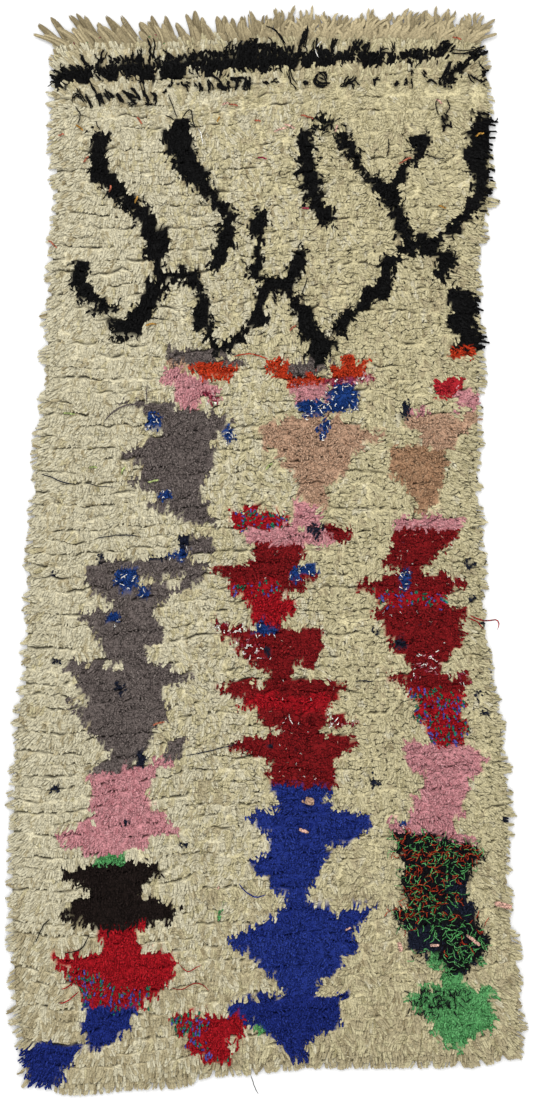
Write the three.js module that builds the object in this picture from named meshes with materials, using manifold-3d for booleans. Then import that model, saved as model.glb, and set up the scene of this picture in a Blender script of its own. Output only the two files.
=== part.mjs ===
// A hand-knotted wool rug of the High Atlas kind, laid flat: a shaggy pile field whose rows of
// knots stand up as ridges, ragged locks of pile round its rim, and a fringe of warp locks at
// its head. Millimetres, +Z up. The rug lies on z = 0 with its head towards +Y.

import * as THREE from "three";
import { mergeGeometries, mergeVertices } from "three/addons/utils/BufferGeometryUtils.js";
import Module from "manifold-3d";

// Pile field: a ridge stands for two rows of knots, with a furrow after it.
const RIDGES = 46;
const COLUMNS = 18;
const SELVEDGE_SHARE = 0.03; // of the width, where the pile slopes down to its rim
const PILE_HEIGHT = 20;
const RIDGE_RISE = 2.6; // a crest above the mean pile, and a furrow below it
const TUFT_UNEVENNESS = 3;
const SWELL_HEIGHT = 1.6; // slow rise and fall of the whole field
const SWELL_LENGTH = 420;
const RIM_HEIGHT = 9;

// Where the two selvedges lie at a distance along the rug, from the foot (-) to the head (+).
const SELVEDGES = [
  { along: -1040, left: -447, right: 479 },
  { along: -960, left: -455, right: 481 },
  { along: -840, left: -474, right: 485 },
  { along: -660, left: -479, right: 460 },
  { along: -490, left: -476, right: 464 },
  { along: -330, left: -469, right: 445 },
  { along: -240, left: -453, right: 427 },
  { along: -65, left: -445, right: 413 },
  { along: 110, left: -435, right: 403 },
  { along: 360, left: -412, right: 410 },
  { along: 540, left: -402, right: 404 },
  { along: 700, left: -393, right: 429 },
  { along: 800, left: -400, right: 429 },
  { along: 985, left: -398, right: 405 },
];

// Where the pile ends at the foot and at the head, by the share of the width from the left.
const ENDS = [
  { across: 0, foot: -1010, head: 968 },
  { across: 0.1, foot: -1024, head: 970 },
  { across: 0.28, foot: -1012, head: 972 },
  { across: 0.4, foot: -988, head: 976 },
  { across: 0.6, foot: -974, head: 980 },
  { across: 0.9, foot: -972, head: 978 },
  { across: 1, foot: -956, head: 974 },
];

// Locks of pile that hang over the rim. They lie on the floor, flat side down, and a lock's
// root reaches back into its backing.
const SIDE_LOCKS = 58;
const SIDE_LOCK = { root: 14, width: 30, tip: 9, height: 8, shortest: 5, longest: 20, sway: 10 };
const FOOT_LOCKS = 42;
const FOOT_LOCK = { root: 14, width: 20, tip: 6, height: 8, shortest: 8, longest: 26, sway: 7 };
const CORNER_SHARE = 0.012; // of an edge, kept clear of locks at each corner
const TIP_HEIGHT = 2.4;

// The fringe: warp ends drawn into pointed locks, on a narrow woven strip at the head.
const STRIP_GAP = 0.3;
const STRIP_WIDTH = 12;
const STRIP_HEIGHT = 6.5;
const FRINGE_LOCKS = 58;
const FRINGE_LOCK = { root: 8, width: 11.5, tip: 3.2, height: 6, shortest: 24, longest: 52, sway: 6 };
const TIP_LEAN = { left: -16, right: 12 }; // the fringe fans out towards both corners

const WOOL_ROUGHNESS = 0.95;
const IVORY_WOOL = "#bcb395";
const WARP_WOOL = "#aca183";

const wasm = await Module();
wasm.setup();

// A repeatable ragged value from 0 to 1 for a whole number and a salt.
function ragged(index, salt) {
  const wave = Math.sin(index * 12.9898 + salt * 78.233) * 43758.5453;
  return wave - Math.floor(wave);
}

// A column of a table at a place on its key column, eased from row to row.
function tableAt(table, key, place, column) {
  const last = table.length - 1;
  const after = table.findIndex((row) => row[key] >= place);
  if (after === 0) return table[0][column];
  if (after < 0) return table[last][column];
  const [low, high] = [table[after - 1], table[after]];
  const share = THREE.MathUtils.smoothstep(place, low[key], high[key]);
  return THREE.MathUtils.lerp(low[column], high[column], share);
}

// The point of the field at a share of the width and a share of the length.
function fieldPoint(across, along) {
  const foot = tableAt(ENDS, "across", across, "foot");
  const head = tableAt(ENDS, "across", across, "head");
  const y = THREE.MathUtils.lerp(foot, head, along);
  const left = tableAt(SELVEDGES, "along", y, "left");
  const right = tableAt(SELVEDGES, "along", y, "right");
  return new THREE.Vector2(THREE.MathUtils.lerp(left, right, across), y);
}

// A closed geometry as a solid that can be joined to others.
function solidOf(geometry) {
  const bare = geometry.clone();
  bare.deleteAttribute("normal");
  bare.deleteAttribute("uv");
  const merged = mergeVertices(bare, 1e-3);
  return new wasm.Manifold(
    new wasm.Mesh({
      numProp: 3,
      vertProperties: merged.attributes.position.array,
      triVerts: new Uint32Array(merged.index.array),
    }),
  );
}

// A joined solid as a geometry again.
function geometryOf(solid) {
  const { vertProperties, triVerts } = solid.getMesh();
  const geometry = new THREE.BufferGeometry();
  geometry.setAttribute("position", new THREE.BufferAttribute(vertProperties, 3));
  geometry.setIndex(new THREE.BufferAttribute(triVerts, 1));
  geometry.computeVertexNormals();
  return geometry;
}

// Moves every point of a geometry to where place(point) puts it.
function reshape(geometry, place) {
  const points = geometry.attributes.position;
  const point = new THREE.Vector3();
  for (let i = 0; i < points.count; i++) {
    const moved = place(point.fromBufferAttribute(points, i));
    points.setXYZ(i, moved.x, moved.y, moved.z);
  }
  return geometry;
}

// Even columns, but for one close to each selvedge where the pile slopes down.
function columnShare(column) {
  if (column === 0 || column === COLUMNS) return column / COLUMNS;
  const inner = (column - 1) / (COLUMNS - 2);
  return THREE.MathUtils.lerp(SELVEDGE_SHARE, 1 - SELVEDGE_SHARE, inner);
}

// The top of the pile at a grid point: crests and furrows by turns, lumps, and a low rim.
function pileTop(column, line, lines, spot) {
  const onRim = column === 0 || column === COLUMNS || line === 0 || line === lines;
  if (onRim) return RIM_HEIGHT;
  const ridge = line % 2 ? RIDGE_RISE : -RIDGE_RISE;
  const tuft = (ragged(column + line * COLUMNS, 1) - 0.5) * TUFT_UNEVENNESS;
  const swell = Math.sin((spot.x + 2 * spot.y) / SWELL_LENGTH) * SWELL_HEIGHT;
  return PILE_HEIGHT + ridge + tuft + swell;
}

// The rim of the field, counterclockwise as seen from above.
function rimPoints(lines) {
  const rim = [];
  for (let column = 0; column < COLUMNS; column++) rim.push(fieldPoint(columnShare(column), 0));
  for (let line = 0; line < lines; line++) rim.push(fieldPoint(1, line / lines));
  for (let column = COLUMNS; column > 0; column--) rim.push(fieldPoint(columnShare(column), 1));
  for (let line = lines; line > 0; line--) rim.push(fieldPoint(0, line / lines));
  return rim;
}

// The selvedge wall, from the floor up to the rim of the pile.
function rimWall(rim) {
  const wall = new THREE.PlaneGeometry(1, 1, rim.length, 1);
  return reshape(wall, (point) => {
    const spot = rim[Math.round((point.x + 0.5) * rim.length) % rim.length];
    return new THREE.Vector3(spot.x, spot.y, point.y > 0 ? RIM_HEIGHT : 0);
  });
}

// The flat underside, facing down.
function underside(rim) {
  const ground = new THREE.ShapeGeometry(new THREE.Shape(rim));
  const corners = ground.index.array;
  for (let i = 0; i < corners.length; i += 3) {
    [corners[i], corners[i + 1]] = [corners[i + 1], corners[i]];
  }
  return ground;
}

// The knotted field: flat underneath, ridged and lumpy on top.
function pileField() {
  const lines = 2 * RIDGES;
  const top = reshape(new THREE.PlaneGeometry(1, 1, COLUMNS, lines), (point) => {
    const column = Math.round((point.x + 0.5) * COLUMNS);
    const line = Math.round((point.y + 0.5) * lines);
    const spot = fieldPoint(columnShare(column), line / lines);
    return new THREE.Vector3(spot.x, spot.y, pileTop(column, line, lines, spot));
  });
  const rim = rimPoints(lines);
  return mergeGeometries([top, rimWall(rim), underside(rim)]);
}

// One lock: a three-sided strand, flat side on the floor, that tapers from its root to its tip.
function lock(edge, outward, kind, length, sway) {
  const strand = new THREE.CylinderGeometry(1, 1, 1, 3, 2);
  const aside = new THREE.Vector2(-outward.y, outward.x);
  return reshape(strand, (point) => {
    const share = 0.5 - point.y; // 0 at the root, 1 at the tip
    const taper = share * share;
    const width = THREE.MathUtils.lerp(kind.width, kind.tip, taper);
    const height = THREE.MathUtils.lerp(kind.height, TIP_HEIGHT, taper);
    const reach = THREE.MathUtils.lerp(-kind.root, length, share);
    const offset = sway * taper + (point.x / Math.sin(Math.PI / 3)) * (width / 2);
    const spot = edge.clone().addScaledVector(outward, reach).addScaledVector(aside, offset);
    const rise = THREE.MathUtils.clamp((point.z + 0.5) / 1.5, 0, 1);
    return new THREE.Vector3(spot.x, spot.y, rise * height);
  });
}

// A row of locks along an edge, given as a function of the share of that edge.
function lockRow(count, edgeAt, outwardAt, kind, salt, leanAt = () => 0) {
  const row = [];
  for (let i = 0; i < count; i++) {
    const share = THREE.MathUtils.lerp(CORNER_SHARE, 1 - CORNER_SHARE, (i + 0.5) / count);
    const length = THREE.MathUtils.lerp(kind.shortest, kind.longest, ragged(i, salt));
    const sway = (ragged(i, salt + 1) - 0.5) * kind.sway + leanAt(share);
    row.push(lock(edgeAt(share), outwardAt, kind, length, sway));
  }
  return row;
}

// Joins the locks to their backing by their roots.
function withLocks(backing, locks) {
  const tufts = locks.map(solidOf).reduce((joined, each) => joined.add(each));
  return solidOf(backing).add(tufts);
}

function rugGeometry() {
  const left = new THREE.Vector2(-1, 0);
  const right = new THREE.Vector2(1, 0);
  const down = new THREE.Vector2(0, -1);
  const locks = [
    ...lockRow(SIDE_LOCKS, (share) => fieldPoint(0, share), left, SIDE_LOCK, 3),
    ...lockRow(SIDE_LOCKS, (share) => fieldPoint(1, share), right, SIDE_LOCK, 5),
    ...lockRow(FOOT_LOCKS, (share) => fieldPoint(share, 0), down, FOOT_LOCK, 7),
  ];
  return geometryOf(withLocks(pileField(), locks));
}

// The woven strip follows the head of the field, a hair's breadth from it.
function headStrip() {
  const edge = [];
  for (let column = 0; column <= COLUMNS; column++) edge.push(fieldPoint(columnShare(column), 1));
  const shifted = (by) => edge.map((point) => new THREE.Vector2(point.x, point.y + by));
  const outline = [...shifted(STRIP_GAP), ...shifted(STRIP_GAP + STRIP_WIDTH).reverse()];
  return new THREE.ExtrudeGeometry(new THREE.Shape(outline), {
    depth: STRIP_HEIGHT,
    bevelEnabled: false,
  });
}

function fringeGeometry() {
  const up = new THREE.Vector2(0, 1);
  const edgeAt = (share) => fieldPoint(share, 1).add(new THREE.Vector2(0, STRIP_GAP + STRIP_WIDTH));
  const leanAt = (share) => -THREE.MathUtils.lerp(TIP_LEAN.left, TIP_LEAN.right, share);
  const locks = lockRow(FRINGE_LOCKS, edgeAt, up, FRINGE_LOCK, 9, leanAt);
  return geometryOf(withLocks(headStrip(), locks));
}

function woolMesh(name, geometry, colour) {
  const wool = new THREE.MeshStandardMaterial({
    color: colour,
    roughness: WOOL_ROUGHNESS,
    metalness: 0,
  });
  const mesh = new THREE.Mesh(geometry, wool);
  mesh.name = name;
  return mesh;
}

const rug = new THREE.Group();
rug.add(woolMesh("pile_field", rugGeometry(), IVORY_WOOL));
rug.add(woolMesh("head_fringe", fringeGeometry(), WARP_WOOL));

export default rug;
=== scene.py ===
import bpy
import collections
import math
import numpy as np
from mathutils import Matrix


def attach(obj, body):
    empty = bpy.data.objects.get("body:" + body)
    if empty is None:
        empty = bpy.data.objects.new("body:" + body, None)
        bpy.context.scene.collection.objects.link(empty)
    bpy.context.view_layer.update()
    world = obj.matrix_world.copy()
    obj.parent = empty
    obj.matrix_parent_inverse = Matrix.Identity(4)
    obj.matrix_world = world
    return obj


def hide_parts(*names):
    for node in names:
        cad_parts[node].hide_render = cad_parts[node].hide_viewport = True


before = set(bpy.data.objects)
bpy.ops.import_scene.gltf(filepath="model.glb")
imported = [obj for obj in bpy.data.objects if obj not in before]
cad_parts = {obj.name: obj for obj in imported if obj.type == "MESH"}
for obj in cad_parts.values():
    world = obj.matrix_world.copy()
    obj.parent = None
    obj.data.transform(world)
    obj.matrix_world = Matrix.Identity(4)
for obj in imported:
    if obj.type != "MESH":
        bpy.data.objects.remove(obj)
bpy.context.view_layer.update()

# The view: the rug lies on a plain pale floor and is seen from straight above, head end up. A broad
# soft light stands over its head, a weaker one over its foot, and the rest is a pale room.
MM = 0.001
CM = 0.01
VIEW_HEIGHT = 4.5
PHOTO_HIGH_PX = 1102
PX_IN_MM = 1.9
VIEW_LONG_SIDE = PHOTO_HIGH_PX * PX_IN_MM * MM
VIEW_MIDDLE = 5 * MM
PILE_LEVEL = 16 * MM
FLOOR_SIZE = 30
FLOOR_LEVEL = -0.2 * MM
FLOOR_COLOUR = (0.9, 0.9, 0.895, 1)
FLOOR_ROUGHNESS = 0.9
LAMPS = (  # place in metres, size, watts
    ((-0.8, 2.0, 3.6), 2.4, 66),
    ((0.7, -2.0, 3.8), 3.0, 28),
)
ROOM_LIGHT = 0.92

scene = bpy.context.scene
scene.view_settings.view_transform = "Standard"
bpy.ops.object.select_all(action="DESELECT")
bpy.ops.object.camera_add(location=(VIEW_MIDDLE, 0, VIEW_HEIGHT), rotation=(0, 0, 0))
camera = bpy.context.object
camera.data.lens = camera.data.sensor_width * (VIEW_HEIGHT - PILE_LEVEL) / VIEW_LONG_SIDE
scene.camera = camera

for place, size, watts in LAMPS:
    bpy.ops.object.light_add(type="AREA", location=place)
    lamp = bpy.context.object
    lamp.data.size = size
    lamp.data.energy = watts
    lamp.rotation_euler = (-lamp.location).to_track_quat("-Z", "Y").to_euler()

world = bpy.data.worlds.new("pale_room")
world.use_nodes = True
sky = world.node_tree.nodes["Background"].inputs
sky["Color"].default_value = (1, 1, 1, 1)
sky["Strength"].default_value = ROOM_LIGHT
scene.world = world

bpy.ops.mesh.primitive_plane_add(size=FLOOR_SIZE, location=(0, 0, FLOOR_LEVEL))
floor = bpy.context.object
floor.name = "floor"
floor_paint = bpy.data.materials.new("floor_paint")
floor_paint.use_nodes = True
paint = floor_paint.node_tree.nodes["Principled BSDF"].inputs
paint["Base Color"].default_value = FLOOR_COLOUR
paint["Roughness"].default_value = FLOOR_ROUGHNESS
floor.data.materials.append(floor_paint)

# The ground cloth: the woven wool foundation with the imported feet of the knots, one cloth up to
# 15 mm thick. It is made on a hand loom, so it widens towards its foot and its rows waver, and
# under some rows the pile parts in a crack.
SELVEDGES = (  # along the rug, left edge, right edge, in cm from the middle
    (-104, -44.7, 47.9),
    (-96, -45.5, 48.1),
    (-84, -47.4, 48.5),
    (-66, -47.9, 46.0),
    (-49, -47.6, 46.4),
    (-33, -46.9, 44.5),
    (-24, -45.3, 42.7),
    (-6.5, -44.5, 41.3),
    (11, -43.5, 40.3),
    (36, -41.2, 41.0),
    (54, -40.2, 40.4),
    (70, -39.3, 42.9),
    (80, -40.0, 42.9),
    (98.5, -39.8, 40.5),
)
ENDS = (  # share of the width from the left, foot end, head end, in cm
    (0, -101.0, 96.8),
    (0.1, -102.4, 97.0),
    (0.28, -101.2, 97.2),
    (0.4, -98.8, 97.6),
    (0.6, -97.4, 98.0),
    (0.9, -97.2, 97.8),
    (1, -95.6, 97.4),
)
ROWS = 180
KNOTS = 128
WAVES = 7
ROW_WAVES = (  # height in mm, length in metres and seed of the waves that each pass puts into the rows
    ((5, 0.55, 1), (2, 0.16, 2)),
    ((2.6, 0.06, 12), (2.0, 0.032, 15)),
)
STRAIGHT_ENDS = 0.12
HEAD_SLANT = 26 * MM
SLANT_FROM = 0.55
SLANT_RUN = 0.33
SLANT_END = 0.09
HALF_WIDTH = 0.4
CRACKS = 84
CRACK_HALF = 0.0018
CRACK_DEPTH = 11 * MM
CRACK_SHIFT = 0.45
CRACKS_LEFTWARD = 0.6
CLOTH_COLUMNS = np.array([0, 0.01, *np.linspace(0.02, 0.98, 100), 0.99, 1])
CLOTH_THICK = 14 * MM
CLOTH_RIM = 3.5 * MM
RIM_SLOPE = 25 * MM


def eased(table, at):
    """The table's other columns at a place on its first one, eased from row to row."""
    rows = np.array(table, float)
    low = np.clip(np.searchsorted(rows[:, 0], at) - 1, 0, len(rows) - 2)
    share = np.clip((at - rows[low, 0]) / (rows[low + 1, 0] - rows[low, 0]), 0, 1)
    share = share * share * (3 - 2 * share)
    return [rows[low, c] + share * (rows[low + 1, c] - rows[low, c]) for c in range(1, rows.shape[1])]


def waver(x, y, length, seed):
    """The unevenness of hand work, about -1 to 1, changing over the given length."""
    draw = np.random.default_rng(seed)
    total = np.zeros(np.shape(x))
    for _ in range(WAVES):
        turn, phase = draw.uniform(0, 2 * math.pi, 2)
        pace = 2 * math.pi / length * draw.uniform(0.6, 1.5)
        total += np.sin((x * math.cos(turn) + y * math.sin(turn)) * pace + phase)
    return total / math.sqrt(WAVES)


def field(across, along):
    """Where a share of the width and of the length lies, and how far it is from each edge."""
    foot, head = eased(ENDS, across)
    y = foot + (head - foot) * along
    left, right = eased(SELVEDGES, y)
    x = left + (right - left) * across
    edges = [np.abs(d) * CM for d in (x - left, right - x, y - foot, head - y)]
    x, y = x * CM, y * CM
    calm = np.minimum(1, np.minimum(edges[2], edges[3]) / STRAIGHT_ENDS)
    slant = np.clip((y - SLANT_FROM) / SLANT_RUN, 0, 1) ** 2 * np.clip(edges[3] / SLANT_END, 0, 1)
    y = y + slant * HEAD_SLANT * x / HALF_WIDTH
    for waves in ROW_WAVES:
        y = y + calm * sum(high * MM * waver(x, y, length, seed) for high, length, seed in waves)
    return x, y, edges


def parting(x, row):
    """How far the pile stands open under a row, 0 closed to 1 open. It opens more to the left."""
    shift = CRACK_SHIFT * row
    stretches = np.clip(1.6 * (waver(x, shift, 0.15, 8) + 0.3 - CRACKS_LEFTWARD * x), 0, 1)
    breaks = np.clip(0.58 - CRACKS_LEFTWARD * x + 0.75 * waver(x, shift, 0.03, 13), 0, 1)
    return stretches * breaks


crackable = np.arange(2, ROWS // 2 - 1)
crack_rows = 2 * np.sort(np.random.default_rng(10).choice(crackable, CRACKS, replace=False))

# Rows of points lie evenly along the cloth, and at each crack three take the place of one.
even = np.linspace(0, 1, ROWS // 2 + 1)
even = even[np.abs(even[:, None] - crack_rows / ROWS).min(1) > 2 * CRACK_HALF]
stations = [(share, 0) for share in even]
for row in crack_rows:
    stations += [(row / ROWS - CRACK_HALF, 0), (row / ROWS, row), (row / ROWS + CRACK_HALF, 0)]
stations = np.array(sorted(stations))
along, across = np.meshgrid(stations[:, 0], CLOTH_COLUMNS, indexing="ij")
cloth_x, cloth_y, cloth_edges = field(across, along)
crack = np.where(stations[:, 1:] > 0, parting(cloth_x, stations[:, 1:]), 0)
crest = CLOTH_THICK + 0.4 * MM * waver(cloth_x, cloth_y, 0.12, 3) - CRACK_DEPTH * crack
slope = np.clip(np.min(cloth_edges, axis=0) / RIM_SLOPE, 0, 1)
cloth_top = CLOTH_RIM + (crest - CLOTH_RIM) * slope
upper_side = np.stack([cloth_x, cloth_y, cloth_top], -1).reshape(-1, 3)
high, wide = cloth_x.shape
grid = np.arange(high * wide).reshape(high, wide)
squares = np.stack([grid[:-1, :-1], grid[:-1, 1:], grid[1:, 1:], grid[1:, :-1]], -1).reshape(-1, 4)

# The rim stands on the floor, and strips from side to side close the underside.
rim = np.concatenate([grid[0, :-1], grid[:-1, -1], grid[-1, :0:-1], grid[:0:-1, 0]])
under_side = upper_side[rim] * (1, 1, 0)
below = np.arange(rim.size) + grid.size
walls = np.stack([np.roll(rim, -1), rim, below, np.roll(below, -1)], -1)
foot_rim, right_rim, head_rim, left_rim = np.split(below, np.cumsum([wide - 1, high - 1, wide - 1]))
right_side = np.append(right_rim, head_rim[0])
left_side = np.append(left_rim, foot_rim[0])[::-1]
strips = np.stack([left_side[1:-2], left_side[2:-1], right_side[2:-1], right_side[1:-2]], -1)
foot_strip = [right_side[0], *foot_rim[::-1], left_side[1], right_side[1]]
head_strip = [left_side[-1], *head_rim[::-1], right_side[-2], left_side[-2]]
faces = [*squares.tolist(), *walls.tolist(), *strips.tolist(), foot_strip, head_strip]
cloth_mesh = bpy.data.meshes.new("ground_cloth")
cloth_mesh.from_pydata(np.concatenate([upper_side, under_side]).tolist(), [], faces)
cloth_mesh.shade_smooth()
ground_cloth = bpy.data.objects.new("ground_cloth", cloth_mesh)
scene.collection.objects.link(ground_cloth)
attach(ground_cloth, "root")
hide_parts("pile_field")


def joined(tree, socket, value):
    """Links another socket to this one, or sets a plain value on it."""
    if isinstance(value, bpy.types.NodeSocket):
        tree.links.new(value, socket)
    else:
        socket.default_value = value


def node(tree, kind, **inputs):
    """A new shader node with these inputs, which are numbers or other nodes' sockets."""
    made = tree.nodes.new("ShaderNode" + kind)
    for name, value in inputs.items():
        joined(tree, made.inputs[name], value)
    return made


def maths(tree, operation, *values, kind="Math"):
    """The result of a Math or Vector Math node."""
    made = tree.nodes.new("ShaderNode" + kind)
    made.operation = operation
    for socket, value in zip(made.inputs, values):
        joined(tree, socket, value)
    return made.outputs[0]


def ramp(tree, value, low, high, first, last):
    """A value from low to high, as one from first to last."""
    made = tree.nodes.new("ShaderNodeMapRange")
    for socket, given in zip(made.inputs, (value, low, high, first, last)):
        joined(tree, socket, given)
    return made.outputs["Result"]


def mixed(tree, first, second, way="MULTIPLY", share=1.0):
    """Two colours mixed. Unless a way is named, the second one shades the first."""
    made = tree.nodes.new("ShaderNodeMix")
    made.data_type = "RGBA"
    made.blend_type = way
    for socket, value in zip((made.inputs[0], made.inputs[6], made.inputs[7]), (share, first, second)):
        joined(tree, socket, value)
    return made.outputs[2]


def attribute(tree, name, output):
    """What the mesh's own attribute of this name says."""
    made = tree.nodes.new("ShaderNodeAttribute")
    made.attribute_name = name
    return made.outputs[output]


WOOL_ROUGHNESS = 0.95
WOOL_GLOSS = 0.08


def matt_wool(material, colour, height, strength, depth):
    """Gives a material a matt woolly face of this colour, with a bump of this depth."""
    tree = material.node_tree
    coat = tree.nodes["Principled BSDF"]
    bump = node(tree, "Bump", Height=height, Strength=strength, Distance=depth)
    tree.links.new(colour, coat.inputs["Base Color"])
    tree.links.new(bump.outputs["Normal"], coat.inputs["Normal"])
    coat.inputs["Roughness"].default_value = WOOL_ROUGHNESS
    coat.inputs["Specular IOR Level"].default_value = WOOL_GLOSS


# The painted shade between tufts: dark broken lines painted round cells of a tuft's size, on the ground cloth
# and on the yarn, for the shade in the hollows between them. They are fainter where the pile is worn smooth,
# at the left, at the foot and at the head.
TUFT_WIDE = 18 * MM
TUFT_HIGH = 7 * MM
TUFT_SWAY = (7 * MM, 5 * MM, 0)
BREAKS_A_METRE = (50, 190, 0)
WORN_SMOOTH = (  # axis, where the wear is full and where it ends in metres, the shade that is left
    ("X", -0.3, 0.05, 0.6),
    ("Y", -0.85, -0.4, 0.55),
    ("Y", 0.9, 0.74, 0.35),
)
painted_shade_group = bpy.data.node_groups.new("painted_tuft_shade", "ShaderNodeTree")
for name, way in (("Crease", "INPUT"), ("Shade", "OUTPUT")):
    painted_shade_group.interface.new_socket(name=name, in_out=way, socket_type="NodeSocketFloat")
given = painted_shade_group.nodes.new("NodeGroupInput").outputs
made = painted_shade_group.nodes.new("NodeGroupOutput").inputs
place = painted_shade_group.nodes.new("ShaderNodeTexCoord").outputs["Object"]
sway = node(painted_shade_group, "TexNoise", Vector=place, Scale=120, Detail=2).outputs["Color"]
swayed = maths(painted_shade_group, "MULTIPLY_ADD", sway, TUFT_SWAY, place, kind="VectorMath")
cells = maths(painted_shade_group, "MULTIPLY", swayed, (1 / TUFT_WIDE, 1 / TUFT_HIGH, 0), kind="VectorMath")
tuft_edges = node(painted_shade_group, "TexVoronoi", Vector=cells, Scale=1.0)
tuft_edges.voronoi_dimensions = "2D"
tuft_edges.feature = "DISTANCE_TO_EDGE"
deep = ramp(painted_shade_group, tuft_edges.outputs["Distance"], 0.02, 0.14, 1.0, 0.0)
broken = maths(painted_shade_group, "MULTIPLY", swayed, BREAKS_A_METRE, kind="VectorMath")
patchy = node(painted_shade_group, "TexNoise", Vector=broken, Scale=1.0, Detail=1).outputs["Fac"]
deep = maths(painted_shade_group, "MULTIPLY", deep, ramp(painted_shade_group, patchy, 0.46, 0.6, 0.06, 1.0))
apart = node(painted_shade_group, "SeparateXYZ", Vector=place).outputs
for axis, worn_at, sound_at, least in WORN_SMOOTH:
    worn = ramp(painted_shade_group, apart[axis], worn_at, sound_at, least, 1.0)
    deep = maths(painted_shade_group, "MULTIPLY", deep, worn)
deep = maths(painted_shade_group, "MULTIPLY", deep, given["Crease"])
painted_shade_group.links.new(maths(painted_shade_group, "SUBTRACT", 1.0, deep), made["Shade"])

# The face of the ground cloth: a plain weave of wool, fuzzy from wear. Its colour is the dye of the knots
# that are tied into it, which a later section fills in, with painted shade between the tufts laid over it.
WEFTS = 38
WARPS = 55
ground_wool = bpy.data.materials.new("ground_wool")
ground_wool.use_nodes = True
tree = ground_wool.node_tree
place = tree.nodes.new("ShaderNodeTexCoord").outputs["Object"]
fuzz = node(tree, "TexNoise", Vector=place, Scale=340, Detail=4).outputs["Fac"]
weft = node(tree, "TexWave", Vector=place, Scale=WEFTS, Distortion=1.5)
weft.bands_direction = "Y"
warp = node(tree, "TexWave", Vector=place, Scale=WARPS, Distortion=1.5)
weave = maths(tree, "MULTIPLY", weft.outputs["Fac"], warp.outputs["Fac"])
painted_crevice_shade = tree.nodes.new("ShaderNodeGroup")
painted_crevice_shade.node_tree = painted_shade_group
painted_crevice_shade.inputs["Crease"].default_value = 0.9
dyed = mixed(tree, attribute(tree, "dye", "Color"), ramp(tree, fuzz, 0.3, 0.7, 0.7, 1.3))
# Painted shade: the ground is darkened along the lines between the tufts.
dyed = mixed(tree, dyed, painted_crevice_shade.outputs["Shade"])
matt_wool(ground_wool, dyed, maths(tree, "ADD", weave, fuzz), 0.5, 1.2 * MM)
cloth_mesh.materials.append(ground_wool)

# The knots: every row is tied in wool yarn over the warps, and each knot's ends stand up and lie over
# towards the foot, outwards at the selvedges and towards the head in the last rows. Between some
# rows the pile parts in a dark crack.
CRACK_GAP = 6.5 * MM
OVERLAP = 14 * MM
RIM_WIDE = 30 * MM
TUFT_STARTS = 0.42
SIDE_LEAN = 16 * MM
FOOT_END_LEAN = 14 * MM
CHARTED_AT = 0.55


def near(distance, reach):
    """1 at an edge, and less and less further from it."""
    return np.exp(-distance / reach)


draw = np.random.default_rng(11)
row_share = (np.arange(ROWS) + 0.5)[:, None] + np.zeros((1, KNOTS))
knot_share = (np.arange(KNOTS) + 0.5)[None, :] + draw.uniform(-0.3, 0.3, (ROWS, KNOTS))
knot_x, knot_y, knot_edges = field(knot_share / KNOTS, row_share / ROWS)
to_left, to_right, to_foot, to_head = knot_edges
knot_wide = (to_left + to_right) / KNOTS
row_high = (to_foot + to_head) / ROWS
to_side = np.minimum(to_left, to_right)
rim_rise = np.clip(np.min(knot_edges, axis=0) / RIM_WIDE, 0, 1)

# Neighbouring knots of two rows draw together in tufts, which each point their own way.
tuft_breaks = np.cumsum(draw.random((ROWS // 2, KNOTS)) < TUFT_STARTS, axis=1).repeat(2, axis=0)
tuft = (np.arange(ROWS) // 2)[:, None] * (KNOTS + 1) + tuft_breaks
tuft_size = np.maximum(np.bincount(tuft.ravel()), 1)
tuft_x = (np.bincount(tuft.ravel(), knot_x.ravel()) / tuft_size)[tuft]
tuft_y = (np.bincount(tuft.ravel(), knot_y.ravel()) / tuft_size)[tuft]
tuft_wide = tuft_size[tuft] / 2 * knot_wide
rightward = np.clip((knot_x + 0.2) / 0.25, 0, 1)
tuft_way = draw.normal(0, 1, (2, tuft_size.size))[:, tuft] * (2 + 2 * rightward) * MM
tuft_way *= 1 - 0.65 * near(to_side, 0.03)

# How far the ends of each knot lean, across and along the rug.
headward = np.clip((0.15 - to_head) / 0.08, 0, 1)
footward = np.clip((-0.3 - knot_y) / 0.4, 0, 1)
lean_x = SIDE_LEAN * (near(to_right, 0.06) - near(to_left, 0.06))
lean_x += (
    5 * MM * waver(knot_x, knot_y, 0.09, 4)
    + 2 * MM * waver(knot_x, knot_y, 0.04, 6)
    + tuft_way[0]
)
lean_y = (-13 + 3 * rightward - 5 * footward + 31 * headward) * MM
lean_y += 3 * MM * waver(knot_x, knot_y, 0.2, 5)
lean_y += tuft_way[1]
lean_y *= 1 - 0.6 * near(to_side, 0.05)
lean_y -= FOOT_END_LEAN * near(to_foot, 0.035)
lumps = 0.6 * MM * waver(knot_x, knot_y, 0.3, 7) + draw.normal(0, 0.5 * MM, tuft_size.size)[tuft]

# The room that the ends have along the rug: they overlap the next row, or stop short of a crack.
openness = np.zeros((ROWS + 1, KNOTS))
for row in crack_rows:
    openness[row] = parting(knot_x[row], row)
room = np.where(openness > 0.1, -CRACK_GAP * openness, OVERLAP)
room_up = row_high / 2 + room[1:]
room_down = row_high / 2 + room[:-1]

# The charts are read a little past the middle of the leaning ends, and a little unevenly. Each knot
# is claimed by one yarn.
unclaimed = np.ones((ROWS, KNOTS), bool)
knot_dye = np.zeros((ROWS, KNOTS, 4))
shown_x = (knot_x + CHARTED_AT * lean_x) / CM
shown_y = (knot_y + CHARTED_AT * lean_y) / CM
chart_x = shown_x + draw.normal(0, 0.2, (ROWS, KNOTS)) + draw.normal(0, 0.25, (ROWS, 1))
chart_y = shown_y + draw.normal(0, 0.2, (ROWS, KNOTS))
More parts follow.
